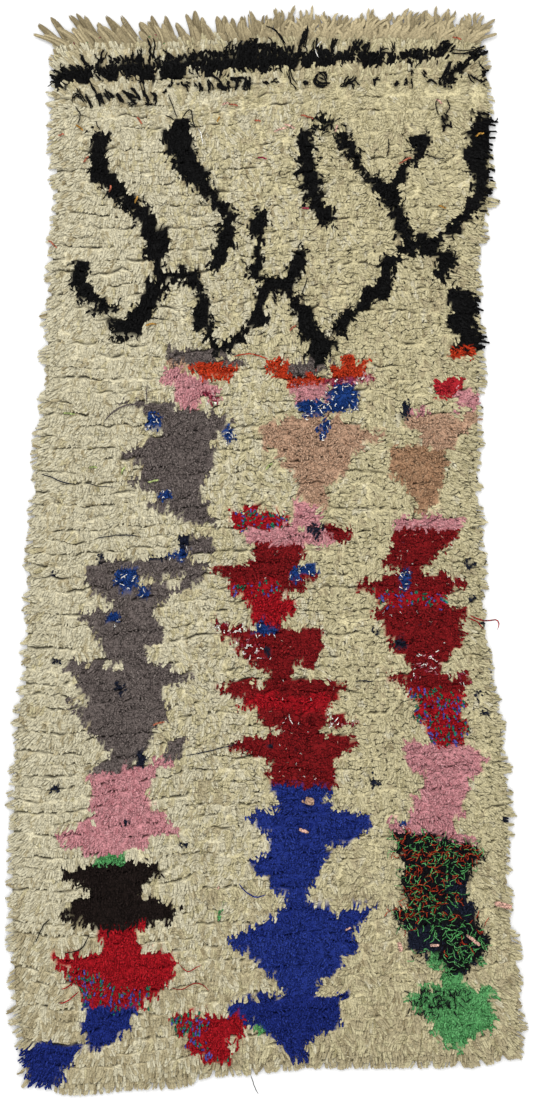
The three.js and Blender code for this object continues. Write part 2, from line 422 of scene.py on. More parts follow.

# The yarn's look: plies of wool twisted together, each end dyed or faded in its own tone and speckled by its
# fibres. Painted shade darkens each end at its sides, towards its root and between the tufts, and it is a
# touch lighter down its middle.
wool_group = bpy.data.node_groups.new("wool_yarn", "ShaderNodeTree")
for name, kind in (("Dye", "Color"), ("Faded", "Color"), ("Grain", "Float"), ("Crease", "Float")):
    wool_group.interface.new_socket(name=name, in_out="INPUT", socket_type="NodeSocket" + kind)
for name, kind in (("Color", "Color"), ("Height", "Float")):
    wool_group.interface.new_socket(name=name, in_out="OUTPUT", socket_type="NodeSocket" + kind)
given = wool_group.nodes.new("NodeGroupInput").outputs
made = wool_group.nodes.new("NodeGroupOutput").inputs
place = wool_group.nodes.new("ShaderNodeTexCoord").outputs["Object"]
fibre = node(wool_group, "TexNoise", Vector=place, Scale=340, Detail=3).outputs["Fac"]
tone = attribute(wool_group, "tone", "Fac")
around = attribute(wool_group, "around", "Fac")
rise = attribute(wool_group, "rise", "Fac")
off_middle = maths(wool_group, "ABSOLUTE", maths(wool_group, "MULTIPLY_ADD", around, 6.0, -1.0))
speckle = ramp(wool_group, fibre, 0.36, 0.64, -1.0, 1.0)
painted_crevice_shade = wool_group.nodes.new("ShaderNodeGroup")
painted_crevice_shade.node_tree = painted_shade_group
wool_group.links.new(given["Crease"], painted_crevice_shade.inputs["Crease"])
yarn = mixed(wool_group, given["Dye"], given["Faded"], "MIX", tone)
# Painted shade: each end is darker at its sides and a touch lighter down its middle.
yarn = mixed(wool_group, yarn, ramp(wool_group, off_middle, 0.4, 1.0, 1.03, 0.88))
yarn = mixed(wool_group, yarn, maths(wool_group, "MULTIPLY_ADD", speckle, given["Grain"], 1.0))
# Painted shade: each end is darker towards its root, down in the pile.
yarn = mixed(wool_group, yarn, ramp(wool_group, rise, 0.1, 0.75, 0.8, 1.0))
# Painted shade between the tufts.
yarn = mixed(wool_group, yarn, painted_crevice_shade.outputs["Shade"])
twist = maths(wool_group, "MULTIPLY_ADD", around, 2.0, maths(wool_group, "MULTIPLY", rise, 1.5))
ply = maths(wool_group, "PINGPONG", twist, 1.0)
wool_group.links.new(yarn, made["Color"])
wool_group.links.new(maths(wool_group, "ADD", fibre, ply), made["Height"])

PILE_SHADE = 0.8


def linear(colour):
    """A colour of 0 to 255 as it looks in the pile, as light reflected by the bare wool."""
    share = np.array(colour) / 255
    light = np.where(share <= 0.04045, share / 12.92, ((share + 0.055) / 1.055) ** 2.4)
    return (*np.minimum(light / PILE_SHADE, 0.95), 1)


def wool(name, dye, faded, grain=0.7, crease=0.8):
    """A matt wool yarn that runs from its dye to a faded shade, end by end. grain is how much its fibres
    speckle it, and crease how much painted shade darkens it between the tufts."""
    material = bpy.data.materials.new(name)
    material.use_nodes = True
    yarn = material.node_tree.nodes.new("ShaderNodeGroup")
    yarn.node_tree = wool_group
    yarn.inputs["Dye"].default_value = linear(dye)
    yarn.inputs["Faded"].default_value = linear(faded)
    yarn.inputs["Grain"].default_value = grain
    yarn.inputs["Crease"].default_value = crease
    matt_wool(material, yarn.outputs["Color"], yarn.outputs["Height"], 0.6, 0.8 * MM)
    material["dye"] = [float(c) for c in np.mean([linear(dye), linear(faded)], 0)]
    return material


SIDES = 3
ACROSS = np.array([[1], [-1], [0]])
UPRIGHT = np.array([[0.62], [0.62], [-0.8]])
NAP = 0.7


def yarn_piece(name, paths, halves, tones, wools, picks):
    """One piece of many yarn ends. paths holds each end's points from root to tip, halves its half
    thickness there, tones its shade from 0 to 1, and picks which of the wools it is. NAP is how far
    the pile catches the light as one face rather than end by end."""
    ends, stations = halves.shape
    rings = stations - 2
    run = np.gradient(paths, axis=1)[:, 1:-1]
    run /= np.linalg.norm(run, axis=2, keepdims=True)
    chord = paths[:, -1:] - paths[:, :1]
    aside = np.stack([-chord[..., 1], chord[..., 0] + 1e-6, 0 * chord[..., 0]], -1)
    aside = aside - run * (aside * run).sum(2, keepdims=True)
    aside /= np.linalg.norm(aside, axis=2, keepdims=True)
    upper = np.cross(run, aside)
    ring = aside[:, :, None] * ACROSS + upper[:, :, None] * UPRIGHT
    points = paths[:, 1:-1, None] + ring * halves[:, 1:-1, None, None]
    points = np.concatenate([paths[:, :1], points.reshape(ends, rings * SIDES, 3), paths[:, -1:]], 1)
    corners, counts, wrap = [], [], []
    for r in range(rings + 1):
        for s in range(SIDES):
            here, beside = 1 + (r - 1) * SIDES + s, 1 + (r - 1) * SIDES + (s + 1) % SIDES
            if r == 0:
                corners += [0, beside + SIDES, here + SIDES]
                wrap += [(s + 0.5, 0), (s + 1, 1), (s, 1)]
                counts.append(3)
            elif r < rings:
                corners += [here, beside, beside + SIDES, here + SIDES]
                wrap += [(s, r), (s + 1, r), (s + 1, r + 1), (s, r + 1)]
                counts.append(4)
            else:
                corners += [here, beside, 1 + rings * SIDES]
                wrap += [(s, r), (s + 1, r), (s + 0.5, r + 1)]
                counts.append(3)
    per_end = points.shape[1]
    loops = np.arange(ends)[:, None] * per_end + np.array(corners)
    starts = np.arange(ends)[:, None] * len(corners) + np.concatenate([[0], np.cumsum(counts)[:-1]])
    mesh = bpy.data.meshes.new(name)
    mesh.vertices.add(ends * per_end)
    mesh.vertices.foreach_set("co", points.astype(np.float32).ravel())
    mesh.loops.add(loops.size)
    mesh.loops.foreach_set("vertex_index", loops.astype(np.int32).ravel())
    mesh.polygons.add(starts.size)
    mesh.polygons.foreach_set("loop_start", starts.astype(np.int32).ravel())
    mesh.polygons.foreach_set("material_index", np.repeat(picks, len(counts)).astype(np.int32))
    mesh.update(calc_edges=True)
    mesh.shade_smooth()
    up = np.array((0, 0, 1.0))
    facing = (1 - NAP) * ring / np.linalg.norm(ring, axis=3, keepdims=True) + NAP * up
    facing = facing.reshape(ends, rings * SIDES, 3)
    upwards = np.tile(up, (ends, 1, 1))
    facing = np.concatenate([upwards, facing, upwards + 0.4 * run[:, -1:]], 1).reshape(-1, 3)
    facing /= np.linalg.norm(facing, axis=1, keepdims=True)
    mesh.normals_split_custom_set_from_vertices(facing.astype(np.float32))
    risen = np.concatenate([[0], np.repeat(np.arange(1, rings + 1) / (rings + 1), SIDES), [1]])
    for title, values in (("tone", np.repeat(tones, per_end)), ("rise", np.tile(risen, ends))):
        mesh.attributes.new(title, "FLOAT", "POINT").data.foreach_set("value", values.astype(np.float32))
    turned = np.tile(np.array(wrap)[:, 0] / SIDES, ends)
    mesh.attributes.new("around", "FLOAT", "CORNER").data.foreach_set("value", turned.astype(np.float32))
    side = math.ceil(math.sqrt(ends))
    cell = np.stack([np.arange(ends) % side, np.arange(ends) // side], 1)[:, None]
    uv = (cell + 0.1 + 0.8 * np.array(wrap) / (SIDES, rings + 1)) / side
    mesh.uv_layers.new(name="yarn_ends").data.foreach_set("uv", uv.astype(np.float32).ravel())
    for material in wools:
        mesh.materials.append(material)
    piece = bpy.data.objects.new(name, mesh)
    scene.collection.objects.link(piece)
    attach(piece, "root")
    return piece


STATIONS = np.array([0, 0.36, 0.88, 1.0])
SWELL = np.array([0, 1.0, 0.94, 0.0])
EVEN_STEPS = (0.7549, 0.5698)
RAGGED = 1.8 * MM
SCALLOP = 6 * MM
CROWN = 3 * MM

# A kind of yarn: its ends in a knot, their thickness, how far they lie over and fan out, how high they
# stand, how crooked they are, how many bridge the cracks, how far a tuft draws them in, and their tones.
Yarn = collections.namedtuple("Yarn", "ends thick lie fan top wild bridging gather tone")
THICK_YARN = Yarn(3, 3.8 * MM, 1, 1.2 * MM, 17.4 * MM, 0.9 * MM, 0, 0.25, 0.09)
FINE_YARN = Yarn(3, 3.4 * MM, 0.6, 2.8 * MM, 17.6 * MM, 1.2 * MM, 0.8, 0.1, 0.22)
WIRY_YARN = Yarn(2, 4.4 * MM, 0.8, 5.0 * MM, 17.0 * MM, 3.0 * MM, 0.9, 0.1, 0.24)
BAND_YARN = Yarn(3, 4.2 * MM, 0.7, 4.0 * MM, 18.8 * MM, 3.0 * MM, 0.9, 0, 0.24)
RAG_YARN = Yarn(3, 3.4 * MM, 0.4, 1.6 * MM, 18.2 * MM, 1.2 * MM, 0.6, 0, 0.22)
CORD_YARN = Yarn(3, 3.4 * MM, 0.8, 4.5 * MM, 16.5 * MM, 4.0 * MM, 1, 0, 0.24)


def tufts(name, knots, yarn, wools, shares=(1,), seed=0):
    """The cut ends of the given knots in a kind of yarn, as one piece. shares says how the wools mix."""
    rows, cols = knots
    draw = np.random.default_rng(1000 + seed)
    each = yarn.ends
    count = len(rows) * each
    order = np.tile(np.arange(each), len(rows))

    def ends_of(values):
        return np.repeat(values[rows, cols], each)

    def spread_of(step):
        return (np.repeat(draw.random(len(rows)), each) + step * order) % 1 - 0.5

    off_knot = ends_of(knot_wide) * spread_of(EVEN_STEPS[0])
    off_row = ends_of(row_high) * spread_of(EVEN_STEPS[1])
    root_x = ends_of(knot_x) + off_knot
    root_y = ends_of(knot_y) + off_row
    off_tuft_x = root_x - ends_of(tuft_x)
    off_tuft_y = root_y - ends_of(tuft_y)
    swing_x = yarn.lie * ends_of(lean_x) - yarn.gather * off_tuft_x + draw.normal(0, yarn.fan, count)
    swing_y = yarn.lie * ends_of(lean_y) - yarn.gather * off_tuft_y + draw.normal(0, yarn.fan, count)
    half = yarn.thick / 2
    ragged = RAGGED * waver(root_x, root_y, 0.035, 9) + draw.normal(0, 0.8 * MM, count)
    bridging = OVERLAP * (draw.random(count) < yarn.bridging)
    scallop = yarn.gather * SCALLOP * (1 - (2 * off_tuft_x / ends_of(tuft_wide)) ** 2)
    low = ragged + half - scallop - np.maximum(ends_of(room_down), bridging)
    high = np.maximum(low, ragged - half + np.maximum(ends_of(room_up), bridging))
    swing_y = np.clip(off_row + swing_y, low, high) - off_row
    turn = np.arctan2(swing_y, swing_x)
    rise = ends_of(rim_rise)
    crown = (2 * off_tuft_x / ends_of(tuft_wide)) ** 2 + (off_tuft_y / ends_of(row_high)) ** 2
    top = yarn.top * draw.uniform(0.985, 1.015, count) + ends_of(lumps) - yarn.gather * CROWN * crown
    top = top * (0.5 + 0.5 * rise)
    drop = draw.uniform(0.76, 0.98, count) * (0.35 + 0.65 * rise)
    foot = 0.5 * CLOTH_THICK * (0.4 + 0.6 * rise)
    t = STATIONS[None, :]
    bend = 2 * t * (1 - t)
    reach = t * t
    sideways = draw.normal(0, yarn.wild, (count, 1)) * np.sin(math.pi * t)
    x = root_x[:, None] + (0.3 * bend + reach) * swing_x[:, None] - sideways * np.sin(turn)[:, None]
    y = root_y[:, None] + (0.3 * bend + reach) * swing_y[:, None] + sideways * np.cos(turn)[:, None]
    z = (1 - t) ** 2 * foot[:, None] + bend * 1.25 * top[:, None] + reach * (drop * top)[:, None]
    z = np.maximum(z, half * SWELL + 0.3 * MM)
    width = half * draw.uniform(0.85, 1.15, count)
    picks = draw.choice(len(wools), count, p=np.array(shares) / sum(shares))
    beside = np.abs(2 * off_tuft_x / ends_of(tuft_wide))
    # Besides a random tone, ends at the sides of a tuft get a darker tone and those inside a lighter one:
    # painted shade between the tufts.
    tones = draw.normal(0.5, yarn.tone, count) + 2 * yarn.gather * (0.25 - np.clip(3 * beside - 2, 0, 1))
    tones = np.clip(tones, 0, 1)
    knot_dye[rows, cols] = wools[0]["dye"]
    return yarn_piece(name, np.stack([x, y, z], -1), width[:, None] * SWELL, tones, wools, picks)


STRAY_LEVELS = np.array([-5, -1, 0.5, 1, 1, 0.8, 0.3, -0.5]) * MM
STRAY_STATIONS = len(STRAY_LEVELS)
ANY_WAY = (0, 90, 180, 270)


def strays(name, knots, wools, shares=(1,), *, each, long, thick, curl, ways=ANY_WAY, spread=30, seed=0):
    """Curly ends that stray over the pile. each says how many a knot has, ways in which directions they
    set out and spread how far they depart from them, in degrees."""
    draw = np.random.default_rng(2000 + seed)
    number = (each + draw.random(len(knots[0]))).astype(int)
    rows, cols = np.repeat(knots[0], number), np.repeat(knots[1], number)
    count = rows.size
    heading = np.radians(draw.choice(ways, (count, 1)) + draw.normal(0, spread, (count, 1)))
    heading = heading + np.cumsum(draw.normal(0, curl, (count, STRAY_STATIONS)), axis=1)
    step = long * draw.uniform(0.6, 1.2, (count, 1)) / (STRAY_STATIONS - 1)
    start_x = knot_x + 0.4 * lean_x + knot_wide * draw.uniform(-0.5, 0.5, knot_x.shape)
    start_y = knot_y + 0.4 * lean_y + row_high * draw.uniform(-0.5, 0.5, knot_y.shape)
    x = start_x[rows, cols][:, None] + np.cumsum(step * np.cos(heading), axis=1)
    y = start_y[rows, cols][:, None] + np.cumsum(step * np.sin(heading), axis=1)
    level = STRAY_LEVELS + draw.uniform(17.4, 19.4, (count, 1)) * MM
    z = level * (0.4 + 0.6 * rim_rise[rows, cols][:, None])
    swell = np.array([0] + [1.0] * (STRAY_STATIONS - 2) + [0]) * draw.uniform(0.8, 1.15, (count, 1))
    picks = draw.choice(len(wools), count, p=np.array(shares) / sum(shares))
    tones = draw.uniform(0, 1, count)
    return yarn_piece(name, np.stack([x, y, z], -1), thick / 2 * swell, tones, wools, picks)


def rows_of(chart):
    """The knots inside a chart, whose rows are (along, left edge, right edge) in cm."""
    table = np.array(sorted(chart), float)
    left = np.interp(chart_y, table[:, 0], table[:, 1])
    right = np.interp(chart_y, table[:, 0], table[:, 2])
    return (chart_y > table[0, 0]) & (chart_y < table[-1, 0]) & (chart_x > left) & (chart_x < right)


def spots_of(chart):
    """The knots inside small spots, whose rows are (across, along, width, height) in cm."""
    found = np.zeros((ROWS, KNOTS), bool)
    for x, y, spot_width, spot_height in chart:
        off = ((shown_x - x) / (spot_width / 2 + 0.1)) ** 2 + ((shown_y - y) / (spot_height / 2 + 0.3)) ** 2
        found |= off < 1
    return found


def claim(*found):
    """Takes knots that no other yarn has, and says which they are."""
    taken = np.any(found, axis=0) & unclaimed
    unclaimed[taken] = False
    return np.nonzero(taken)


def charted(charts):
    """Takes the free knots inside any of the charts."""
    return claim(*[rows_of(chart) for chart in charts])


# Rag knots: odd knots tied from strips of worn-out clothes, navy, denim and green, scattered over the
# field and set into the lozenges.
NAVY_SPOTS = (
    (-15, 1.6, 2.6, 2.2),
    (-20.3, -1.8, 3.2, 1.2),
    (-31.2, -1.5, 1.4, 1.4),
    (-40, -4.4, 3, 0.5),
    (-27.8, -26.7, 1.8, 1.6),
    (-23.4, -40.5, 2, 2.6),
    (-40, -21.6, 2.2, 1),
    (-39.5, -45.6, 3, 0.5),
    (9.8, 3.6, 3, 2.6),
    (27.3, 26.3, 2, 3.6),
    (0.2, -19.6, 1.8, 1.3),
    (0.4, -37.7, 1.8, 0.8),
    (25.8, -17.9, 2.4, 1.6),
    (39.5, -2.7, 3, 0.9),
    (39.8, -9, 2.4, 0.4),
    (42.6, -9.4, 1, 0.8),
    (42.3, -14, 2.2, 1),
    (20.8, -15.1, 1, 1),
    (20.9, -44.2, 1.7, 1.8),
    (41, -27.7, 2, 2),
    (42.8, -31, 1.8, 1.4),
    (-15, -56, 1.6, 0.6),
    (-26.4, -52.4, 1.2, 0.8),
    (47.8, -58.8, 2, 0.8),
    (37.5, -68.3, 6.6, 2.6),
    (36.5, -64, 4.6, 1.8),
    (30, -74.3, 6, 4.4),
    (46.8, -51, 2, 0.6),
)
DENIM_SPOTS = (
    (-21, 24, 2.8, 2.8),
    (-6.6, 22, 2.2, 3),
    (-18.8, 10, 2.6, 1.6),
    (-16.3, -1.1, 4, 1.6),
    (-26.4, -5.8, 4.8, 3.4),
    (-22.8, -8.2, 2, 1.6),
    (-28.6, -13.2, 2.6, 2.4),
    (11.3, 22.8, 2.4, 3.4),
    (15, 28.8, 6, 4.8),
    (10.6, 27, 8.6, 2.4),
    (6.2, -4.8, 3, 2.8),
    (9, -4, 3, 1.2),
    (0.4, -15.3, 3.6, 1.6),
    (27, -5.8, 2.4, 3.4),
    (26.2, -51.6, 1.6, 0.8),
)
GREEN_SPOTS = (
    (-0.8, -91.8, 2.4, 2),
    (-8.4, -69.6, 0.9, 0.9),
)
navy_wool = wool("navy_wool", (14, 17, 28), (27, 31, 45))
denim_wool = wool("denim_wool", (12, 35, 84), (29, 57, 110))
white_wool = wool("white_wool", (196, 194, 186), (214, 212, 206))
leaf_wool = wool("leaf_wool", (52, 112, 58), (84, 142, 86))
tufts("navy_rag_knots", claim(spots_of(NAVY_SPOTS)), RAG_YARN, [navy_wool], seed=1)
denim_knots = claim(spots_of(DENIM_SPOTS))
tufts("denim_rag_knots", denim_knots, RAG_YARN, [denim_wool], seed=2)
strays("denim_threads", denim_knots, [white_wool, denim_wool], (2, 1),
       each=0.8, long=11 * MM, thick=1.2 * MM, curl=0.9, seed=2)
tufts("green_rag_knots", claim(spots_of(GREEN_SPOTS)), RAG_YARN, [leaf_wool], seed=6)

# Undyed knots inside the lozenges: here and there plain ivory wool is tied into a dyed motif.
# They are kept back from the dyes here, and tied with the rest of the ivory pile.
UNDYED_SPOTS = (
    (-17.5, -5.8, 4.4, 0.9),
    (-22.4, -6, 3, 1.2),
    (-28.2, -22.2, 3, 1),
    (-8.5, 36, 1.2, 1),
    (-20.5, -55.3, 3.6, 0.9),
    (-20.5, -38.6, 3, 0.8),
    (13, -58.8, 2, 1.4),
    (-6.2, -93.8, 1.4, 1.4),
)
undyed = claim(spots_of(UNDYED_SPOTS))

# The black head: a band across, a row of black ticks under it, and branching strokes, tied in a
# wiry black yarn whose loose ends stray over the ivory.
BLACK_BAND = (  # across, lower edge, upper edge, in cm
    (-40.3, 88.7, 89.2), (-39, 88.3, 92.0), (-36.6, 89.0, 92.6), (-33, 89.8, 92.9), (-31.7, 91.0, 93),
    (-30.5, 90.3, 93), (-28.8, 89.6, 93), (-27.9, 90.9, 93.2), (-25.8, 90.7, 94), (-24, 90.4, 93.6),
    (-20.7, 90.1, 93.2), (-19.8, 91.7, 93.6), (-18, 90.5, 94.1), (-15.9, 90.6, 94.4), (-13.6, 92.3, 94.4),
    (-12, 91.4, 95), (-8, 91.1, 94.3), (-6.3, 91.8, 95), (-5.1, 92.2, 96.5), (-4.2, 92.3, 97),
    (-3, 92.4, 96.4), (-1.5, 92, 97.2), (0, 91.4, 96.4), (2, 91.9, 96.7), (3.5, 92.2, 96.4),
    (5, 92.5, 95.3), (8.2, 93, 95.4), (11.5, 93.2, 95.2), (15.8, 93.5, 95), (17.4, 93.1, 95.9),
    (19.7, 92.8, 95.4), (20.7, 92, 95.3), (22.3, 92.8, 95), (23.3, 94, 94.8), (24.6, 93.1, 94.8),
    (25.8, 93.6, 94.5), (27, 93.3, 94.4), (28.6, 92.9, 95), (30, 93.6, 94.9), (31.5, 93.8, 94.7),
    (33, 93.7, 95.3), (33.7, 93.6, 96.6), (34.5, 94, 96.9), (35.6, 94.7, 96.4),
)
BLACK_CORNER = (
    ((95.9, 41, 42.3), (95, 39.5, 42.4), (93.9, 39.1, 42.2)),
    ((93.6, 38, 39.2), (92, 36.8, 38.6), (91, 35, 37.4), (90, 34, 35.8), (88.3, 34.2, 35.3)),
    ((91.6, 42, 43), (90.5, 41.8, 44), (89.2, 41, 43.8)),
)
BLACK_TICKS = (  # thickness in mm, the places the end passes in cm
    (3, (-36.3, 85.1), (-36.5, 85.8), (-35.7, 86.2), (-34.8, 86), (-34.3, 85.1), (-33.7, 84.7)),
    (2, (-35.5, 87.8), (-35, 86.4)),
    (5, (-34, 86.8), (-33.4, 85.8), (-32.8, 84.8)),
    (3, (-33, 89.3), (-32.1, 87.5), (-31.6, 86)),
    (7, (-31.5, 86.9), (-31, 86), (-30.6, 85)),
    (5, (-30.3, 87.3), (-29.7, 86.6), (-29.2, 85.9)),
    (5, (-29.1, 87.1), (-28.5, 86)),
    (7, (-28, 86.9), (-27.3, 86.2), (-26.7, 85.3)),
    (6, (-26.8, 87.5), (-25.8, 86.8), (-24.6, 86.2)),
    (5, (-25.9, 86.4), (-25.3, 85.7), (-24.4, 85.1)),
    (5, (-25.2, 87.6), (-24, 86.7), (-23.3, 85.2)),
    (3, (-25.8, 84.8), (-24.9, 84.7), (-24.2, 84.9)),
    (2, (-23.5, 89.9), (-23, 87.6), (-22.7, 86)),
    (7, (-22.8, 87), (-22.2, 86.2), (-21.7, 85.3)),
    (5, (-21.3, 87.2), (-20.6, 86.6), (-20.6, 86), (-21, 85.3)),
    (3, (-22.8, 85.2), (-22, 85), (-21.4, 85.1)),
    (4, (-19.3, 87), (-18.6, 87.4)),
    (4, (-18.1, 88), (-17.3, 88.4)),
    (2, (-17.1, 90.4), (-17.3, 88.6)),
    (2, (-16.6, 88.7), (-16.2, 88.6)),
    (4, (-15.6, 88.7), (-15, 88.4)),
    (4, (-14.8, 88.8), (-14.2, 87.7)),
    (3, (-13.1, 88.9), (-12.8, 88.4)),
    (6, (-12.3, 88.9), (-11.9, 88.2), (-11.6, 87.5)),
    (4, (-10.8, 89.3), (-10.3, 88.4), (-10.2, 87.5)),
    (3, (-10.2, 91), (-8.8, 89.9), (-7.6, 88.5)),
    (9, (-9.1, 88.4), (-8.2, 88.3), (-7.1, 87.9)),
    (4, (-6.8, 89.3), (-6.3, 87.5)),
    (6, (-6, 89.8), (-5, 89.5), (-3.6, 90)),
    (6, (-4.9, 89.4), (-5, 88.4), (-5.2, 87.6)),
    (5, (-3.6, 90), (-3.4, 88.8), (-3.6, 87.9), (-4.4, 88)),
    (3, (-2.8, 90.3), (-2.7, 88.9), (-2.8, 87.8)),
    (4, (0.1, 89.3), (0.8, 88.5)),
    (4, (1.6, 89), (2.3, 88.8)),
    (2.4, (4.6, 91.4), (5.1, 89.2), (6.1, 87.5)),
    (5, (7.4, 88.5), (7.8, 89.1)),
    (6, (10.5, 90.6), (9.6, 90), (9.5, 89.1), (10.2, 88.4), (11.2, 88.2), (12, 88.7)),
    (4, (10.4, 90.7), (11.2, 90.8), (12.1, 90.2), (12.3, 89.5), (11.9, 89)),
    (4, (10.6, 89.4), (11.2, 88.9)),
    (3, (14.2, 88.2), (15.4, 88.8), (16.8, 89.6), (17, 90.6)),
    (4, (16.4, 89.3), (17.2, 88.9), (17.7, 88.1)),
    (4, (15.4, 88.2), (15.8, 89.2), (16.6, 89.8)),
    (5, (20.8, 89.5), (21.2, 88.5)),
    (4, (20.9, 89.3), (21.7, 89.6)),
    (6, (24.9, 88.7), (25.7, 89.3)),
    (5, (26.8, 89.6), (26.6, 88.2)),
    (2.4, (28.2, 91.3), (28.3, 90.4)),
    (2.4, (27.8, 89.7), (28, 88.5)),
    (3, (30.1, 91.3), (30.9, 90)),
    (5, (31, 88.9), (31.8, 89.5), (32.4, 89)),
    (4, (33.2, 89.7), (33.4, 88.7)),
    (5, (35.6, 93.2), (34.8, 91.6), (34.2, 90.2), (33.5, 89)),
    (2, (40.8, 93.1), (41.4, 91.8), (42.4, 91)),
    (4, (39.2, 90.4), (40.2, 89.2)),
    (4, (40.6, 89.6), (41.4, 88.9)),
)
BLACK_SPIKES = (  # thickness in mm, the places the end passes in cm
    (4, (-34, 92.8), (-34.6, 94.2)),
    (3, (-31, 92.8), (-30.6, 94), (-30, 94.9)),
    (3, (-25.2, 93.2), (-25.3, 95)),
    (3.4, (-23.7, 93), (-23.4, 94.4), (-23.6, 95.5)),
    (4, (-20.6, 93.2), (-21.3, 94.6), (-20.9, 95.6), (-21.2, 96.6), (-21.6, 97.4)),
    (2, (-18.1, 94), (-19, 95.2)),
    (4, (-13, 94.2), (-13.9, 95.1)),
    (3.4, (-10.2, 94.4), (-10.9, 95.6)),
    (1.8, (-7.6, 94.2), (-7.4, 95.6), (-6.3, 97.1)),
    (1.8, (-6.2, 94.6), (-6.4, 95.6), (-5.6, 96.8)),
    (2.2, (4.2, 96.2), (3.2, 98), (1.8, 99.2), (0, 99.8)),
    (5.5, (6.9, 95.4), (7.4, 97), (8, 99.2)),
    (3.4, (7.6, 95.6), (7.9, 97), (8.4, 98.8), (8.2, 99.8)),
    (3.6, (9.9, 95), (10, 96.4), (10.1, 97.5)),
    (5, (12.7, 94.8), (13, 96.2), (13.4, 97.3)),
    (4.4, (17.5, 95), (17.8, 96.4), (18.6, 97.6)),
    (4.4, (17.6, 95), (17.3, 96.9)),
    (4.4, (19.3, 95), (20, 96.5)),
    (3, (22, 94.6), (22.4, 95.6)),
    (2.2, (24.5, 94.4), (24.4, 96.4)),
    (4.4, (28.5, 94), (29.2, 95.5)),
    (2.6, (31.7, 94.2), (31.9, 96)),
    (2.4, (35, 94.8), (38, 94.4), (40.5, 95.2), (42.5, 94.6)),
)
BLACK_STROKES = (
    ((80, -33.5, -29.5), (75, -33, -30), (71.5, -33, -29.5), (70, -32, -27), (68, -30, -25.5),
     (66, -28.5, -21.5), (64.5, -26.5, -21), (62, -24, -20), (59.5, -22.5, -18), (57, -23, -19),
     (55, -22, -19.5), (53, -21, -19.5)),
    ((53.3, -20, -12.5), (50.6, -20.5, -11.5)),
    ((51.5, -22.5, -19.5), (49.5, -23, -18.5), (47, -23.5, -20), (45, -26, -21), (43, -25, -23),
     (41, -25, -23.5)),
    ((43.5, -30, -25), (41, -29, -24.5), (39.5, -30, -25.5)),
    ((50.8, -14.5, -11.8), (48.5, -13, -10.5), (46, -14, -10), (43, -13.5, -9.8), (40, -11, -9.5)),
    ((55, -37, -33.5), (53, -36, -33.5), (51, -37.5, -33.5), (49, -36, -32), (47, -35, -30),
     (46, -32, -27.5), (44.8, -34, -29)),
    ((82, -16, -13.5), (80, -18.5, -14), (77, -19.5, -13.5), (74.5, -17.5, -12.5), (72, -17, -11),
     (70, -14, -10), (68, -12, -8.5), (66, -10.5, -7.5), (64.5, -9, -4.5), (62.5, -8, -5),
     (60.5, -8, -5), (58, -9.5, -6.5), (55.5, -10.5, -7), (53, -10.5, -8.5)),
    ((65, -1.8, 0.5), (62, -2.3, 1), (58, -2.6, -0.3), (55, -2.5, 0), (53, -4, 0.2), (51, -2, 0.8)),
    ((51.7, 1, 5.5), (50, -1, 6), (48.2, -1, 5.5)),
    ((57.3, 5, 8), (54, 5, 8), (51.5, 4, 6.5)),
    ((49, -2, 0.3), (46, -2, 0.2), (44, -3.2, 1), (42, -5, -0.5), (40.3, -6.5, -4), (39, -10, -5),
     (37, -11, -7)),
    ((48.5, 5, 6.5), (46, 5.2, 8.5), (43.5, 6, 9.5), (41, 6.5, 12), (39, 8, 13.5), (37, 8.5, 11.5),
     (35.2, 9.3, 10.8)),
    ((80.2, 6, 9), (77.5, 6.5, 10), (75.5, 6.3, 9), (73, 6.5, 11), (70, 7, 11.5), (67.5, 7, 11.5),
     (65.5, 8.2, 11.5), (63.5, 9.5, 14), (61.5, 10.5, 13.5)),
    ((82.3, 10, 13.5), (79.5, 10, 13.3)),
    ((80, 13.5, 15.5), (77.5, 13.3, 17.8), (75, 15.5, 18), (73, 17.5, 19.8), (71, 18.7, 21.5),
     (69.5, 20, 23)),
    ((79.6, 29, 31.5), (77, 27.8, 31.5), (75, 28, 30.8), (73, 26, 28.5), (71, 25, 27.5), (69.5, 23.5, 27)),
    ((70, 21, 26), (68, 21.2, 26), (65.5, 22.8, 25.8), (63, 24.7, 28), (60.5, 24.2, 28.5), (59.3, 23.8, 27)),
    ((59.8, 26, 34), (57.5, 25.4, 33.5), (56, 25, 29)),
    ((83.3, 39.5, 42.5), (81, 39, 44.5), (78.5, 38.5, 43.5), (75, 38.8, 43), (72, 39, 43.5), (69, 39.8, 43.5),
     (66, 38.7, 43), (64, 37.3, 41), (62, 35.5, 38.5), (60, 34, 38)),
    ((83, 33.3, 35), (79.5, 33.3, 35)),
    ((56.3, 24, 27), (54.5, 22, 26.2), (51.5, 22.2, 25), (49.5, 19, 24.3), (47.5, 18.3, 22),
     (45.5, 15.3, 18.8), (43.5, 12.6, 16.8), (41.2, 12.6, 15)),
    ((57.4, 32, 35.5), (55.5, 31.6, 37), (53.5, 32.8, 36), (51, 32.8, 34.8)),
    ((49.9, 35.2, 39), (47.3, 35, 41.5), (45, 36, 40.5), (43, 34.5, 40), (41, 37, 42), (38.5, 35.7, 42)),
)


def band_of(chart):
    """The knots inside a band that runs across, whose rows are (across, lower edge, upper edge)."""
    table = np.array(chart, float)
    lower = np.interp(chart_x, table[:, 0], table[:, 1])
    upper = np.interp(chart_x, table[:, 0], table[:, 2])
    within = (chart_x > table[0, 0]) & (chart_x < table[-1, 0])
    return within & (chart_y > lower) & (chart_y < upper + 0.3)


LAID_STATIONS = 12
LAID_LEVEL = 19.5 * MM
LAID_WAVES = 1.2 * MM
LAID_END_DROP = 4 * MM
TICK_PLIES = 3


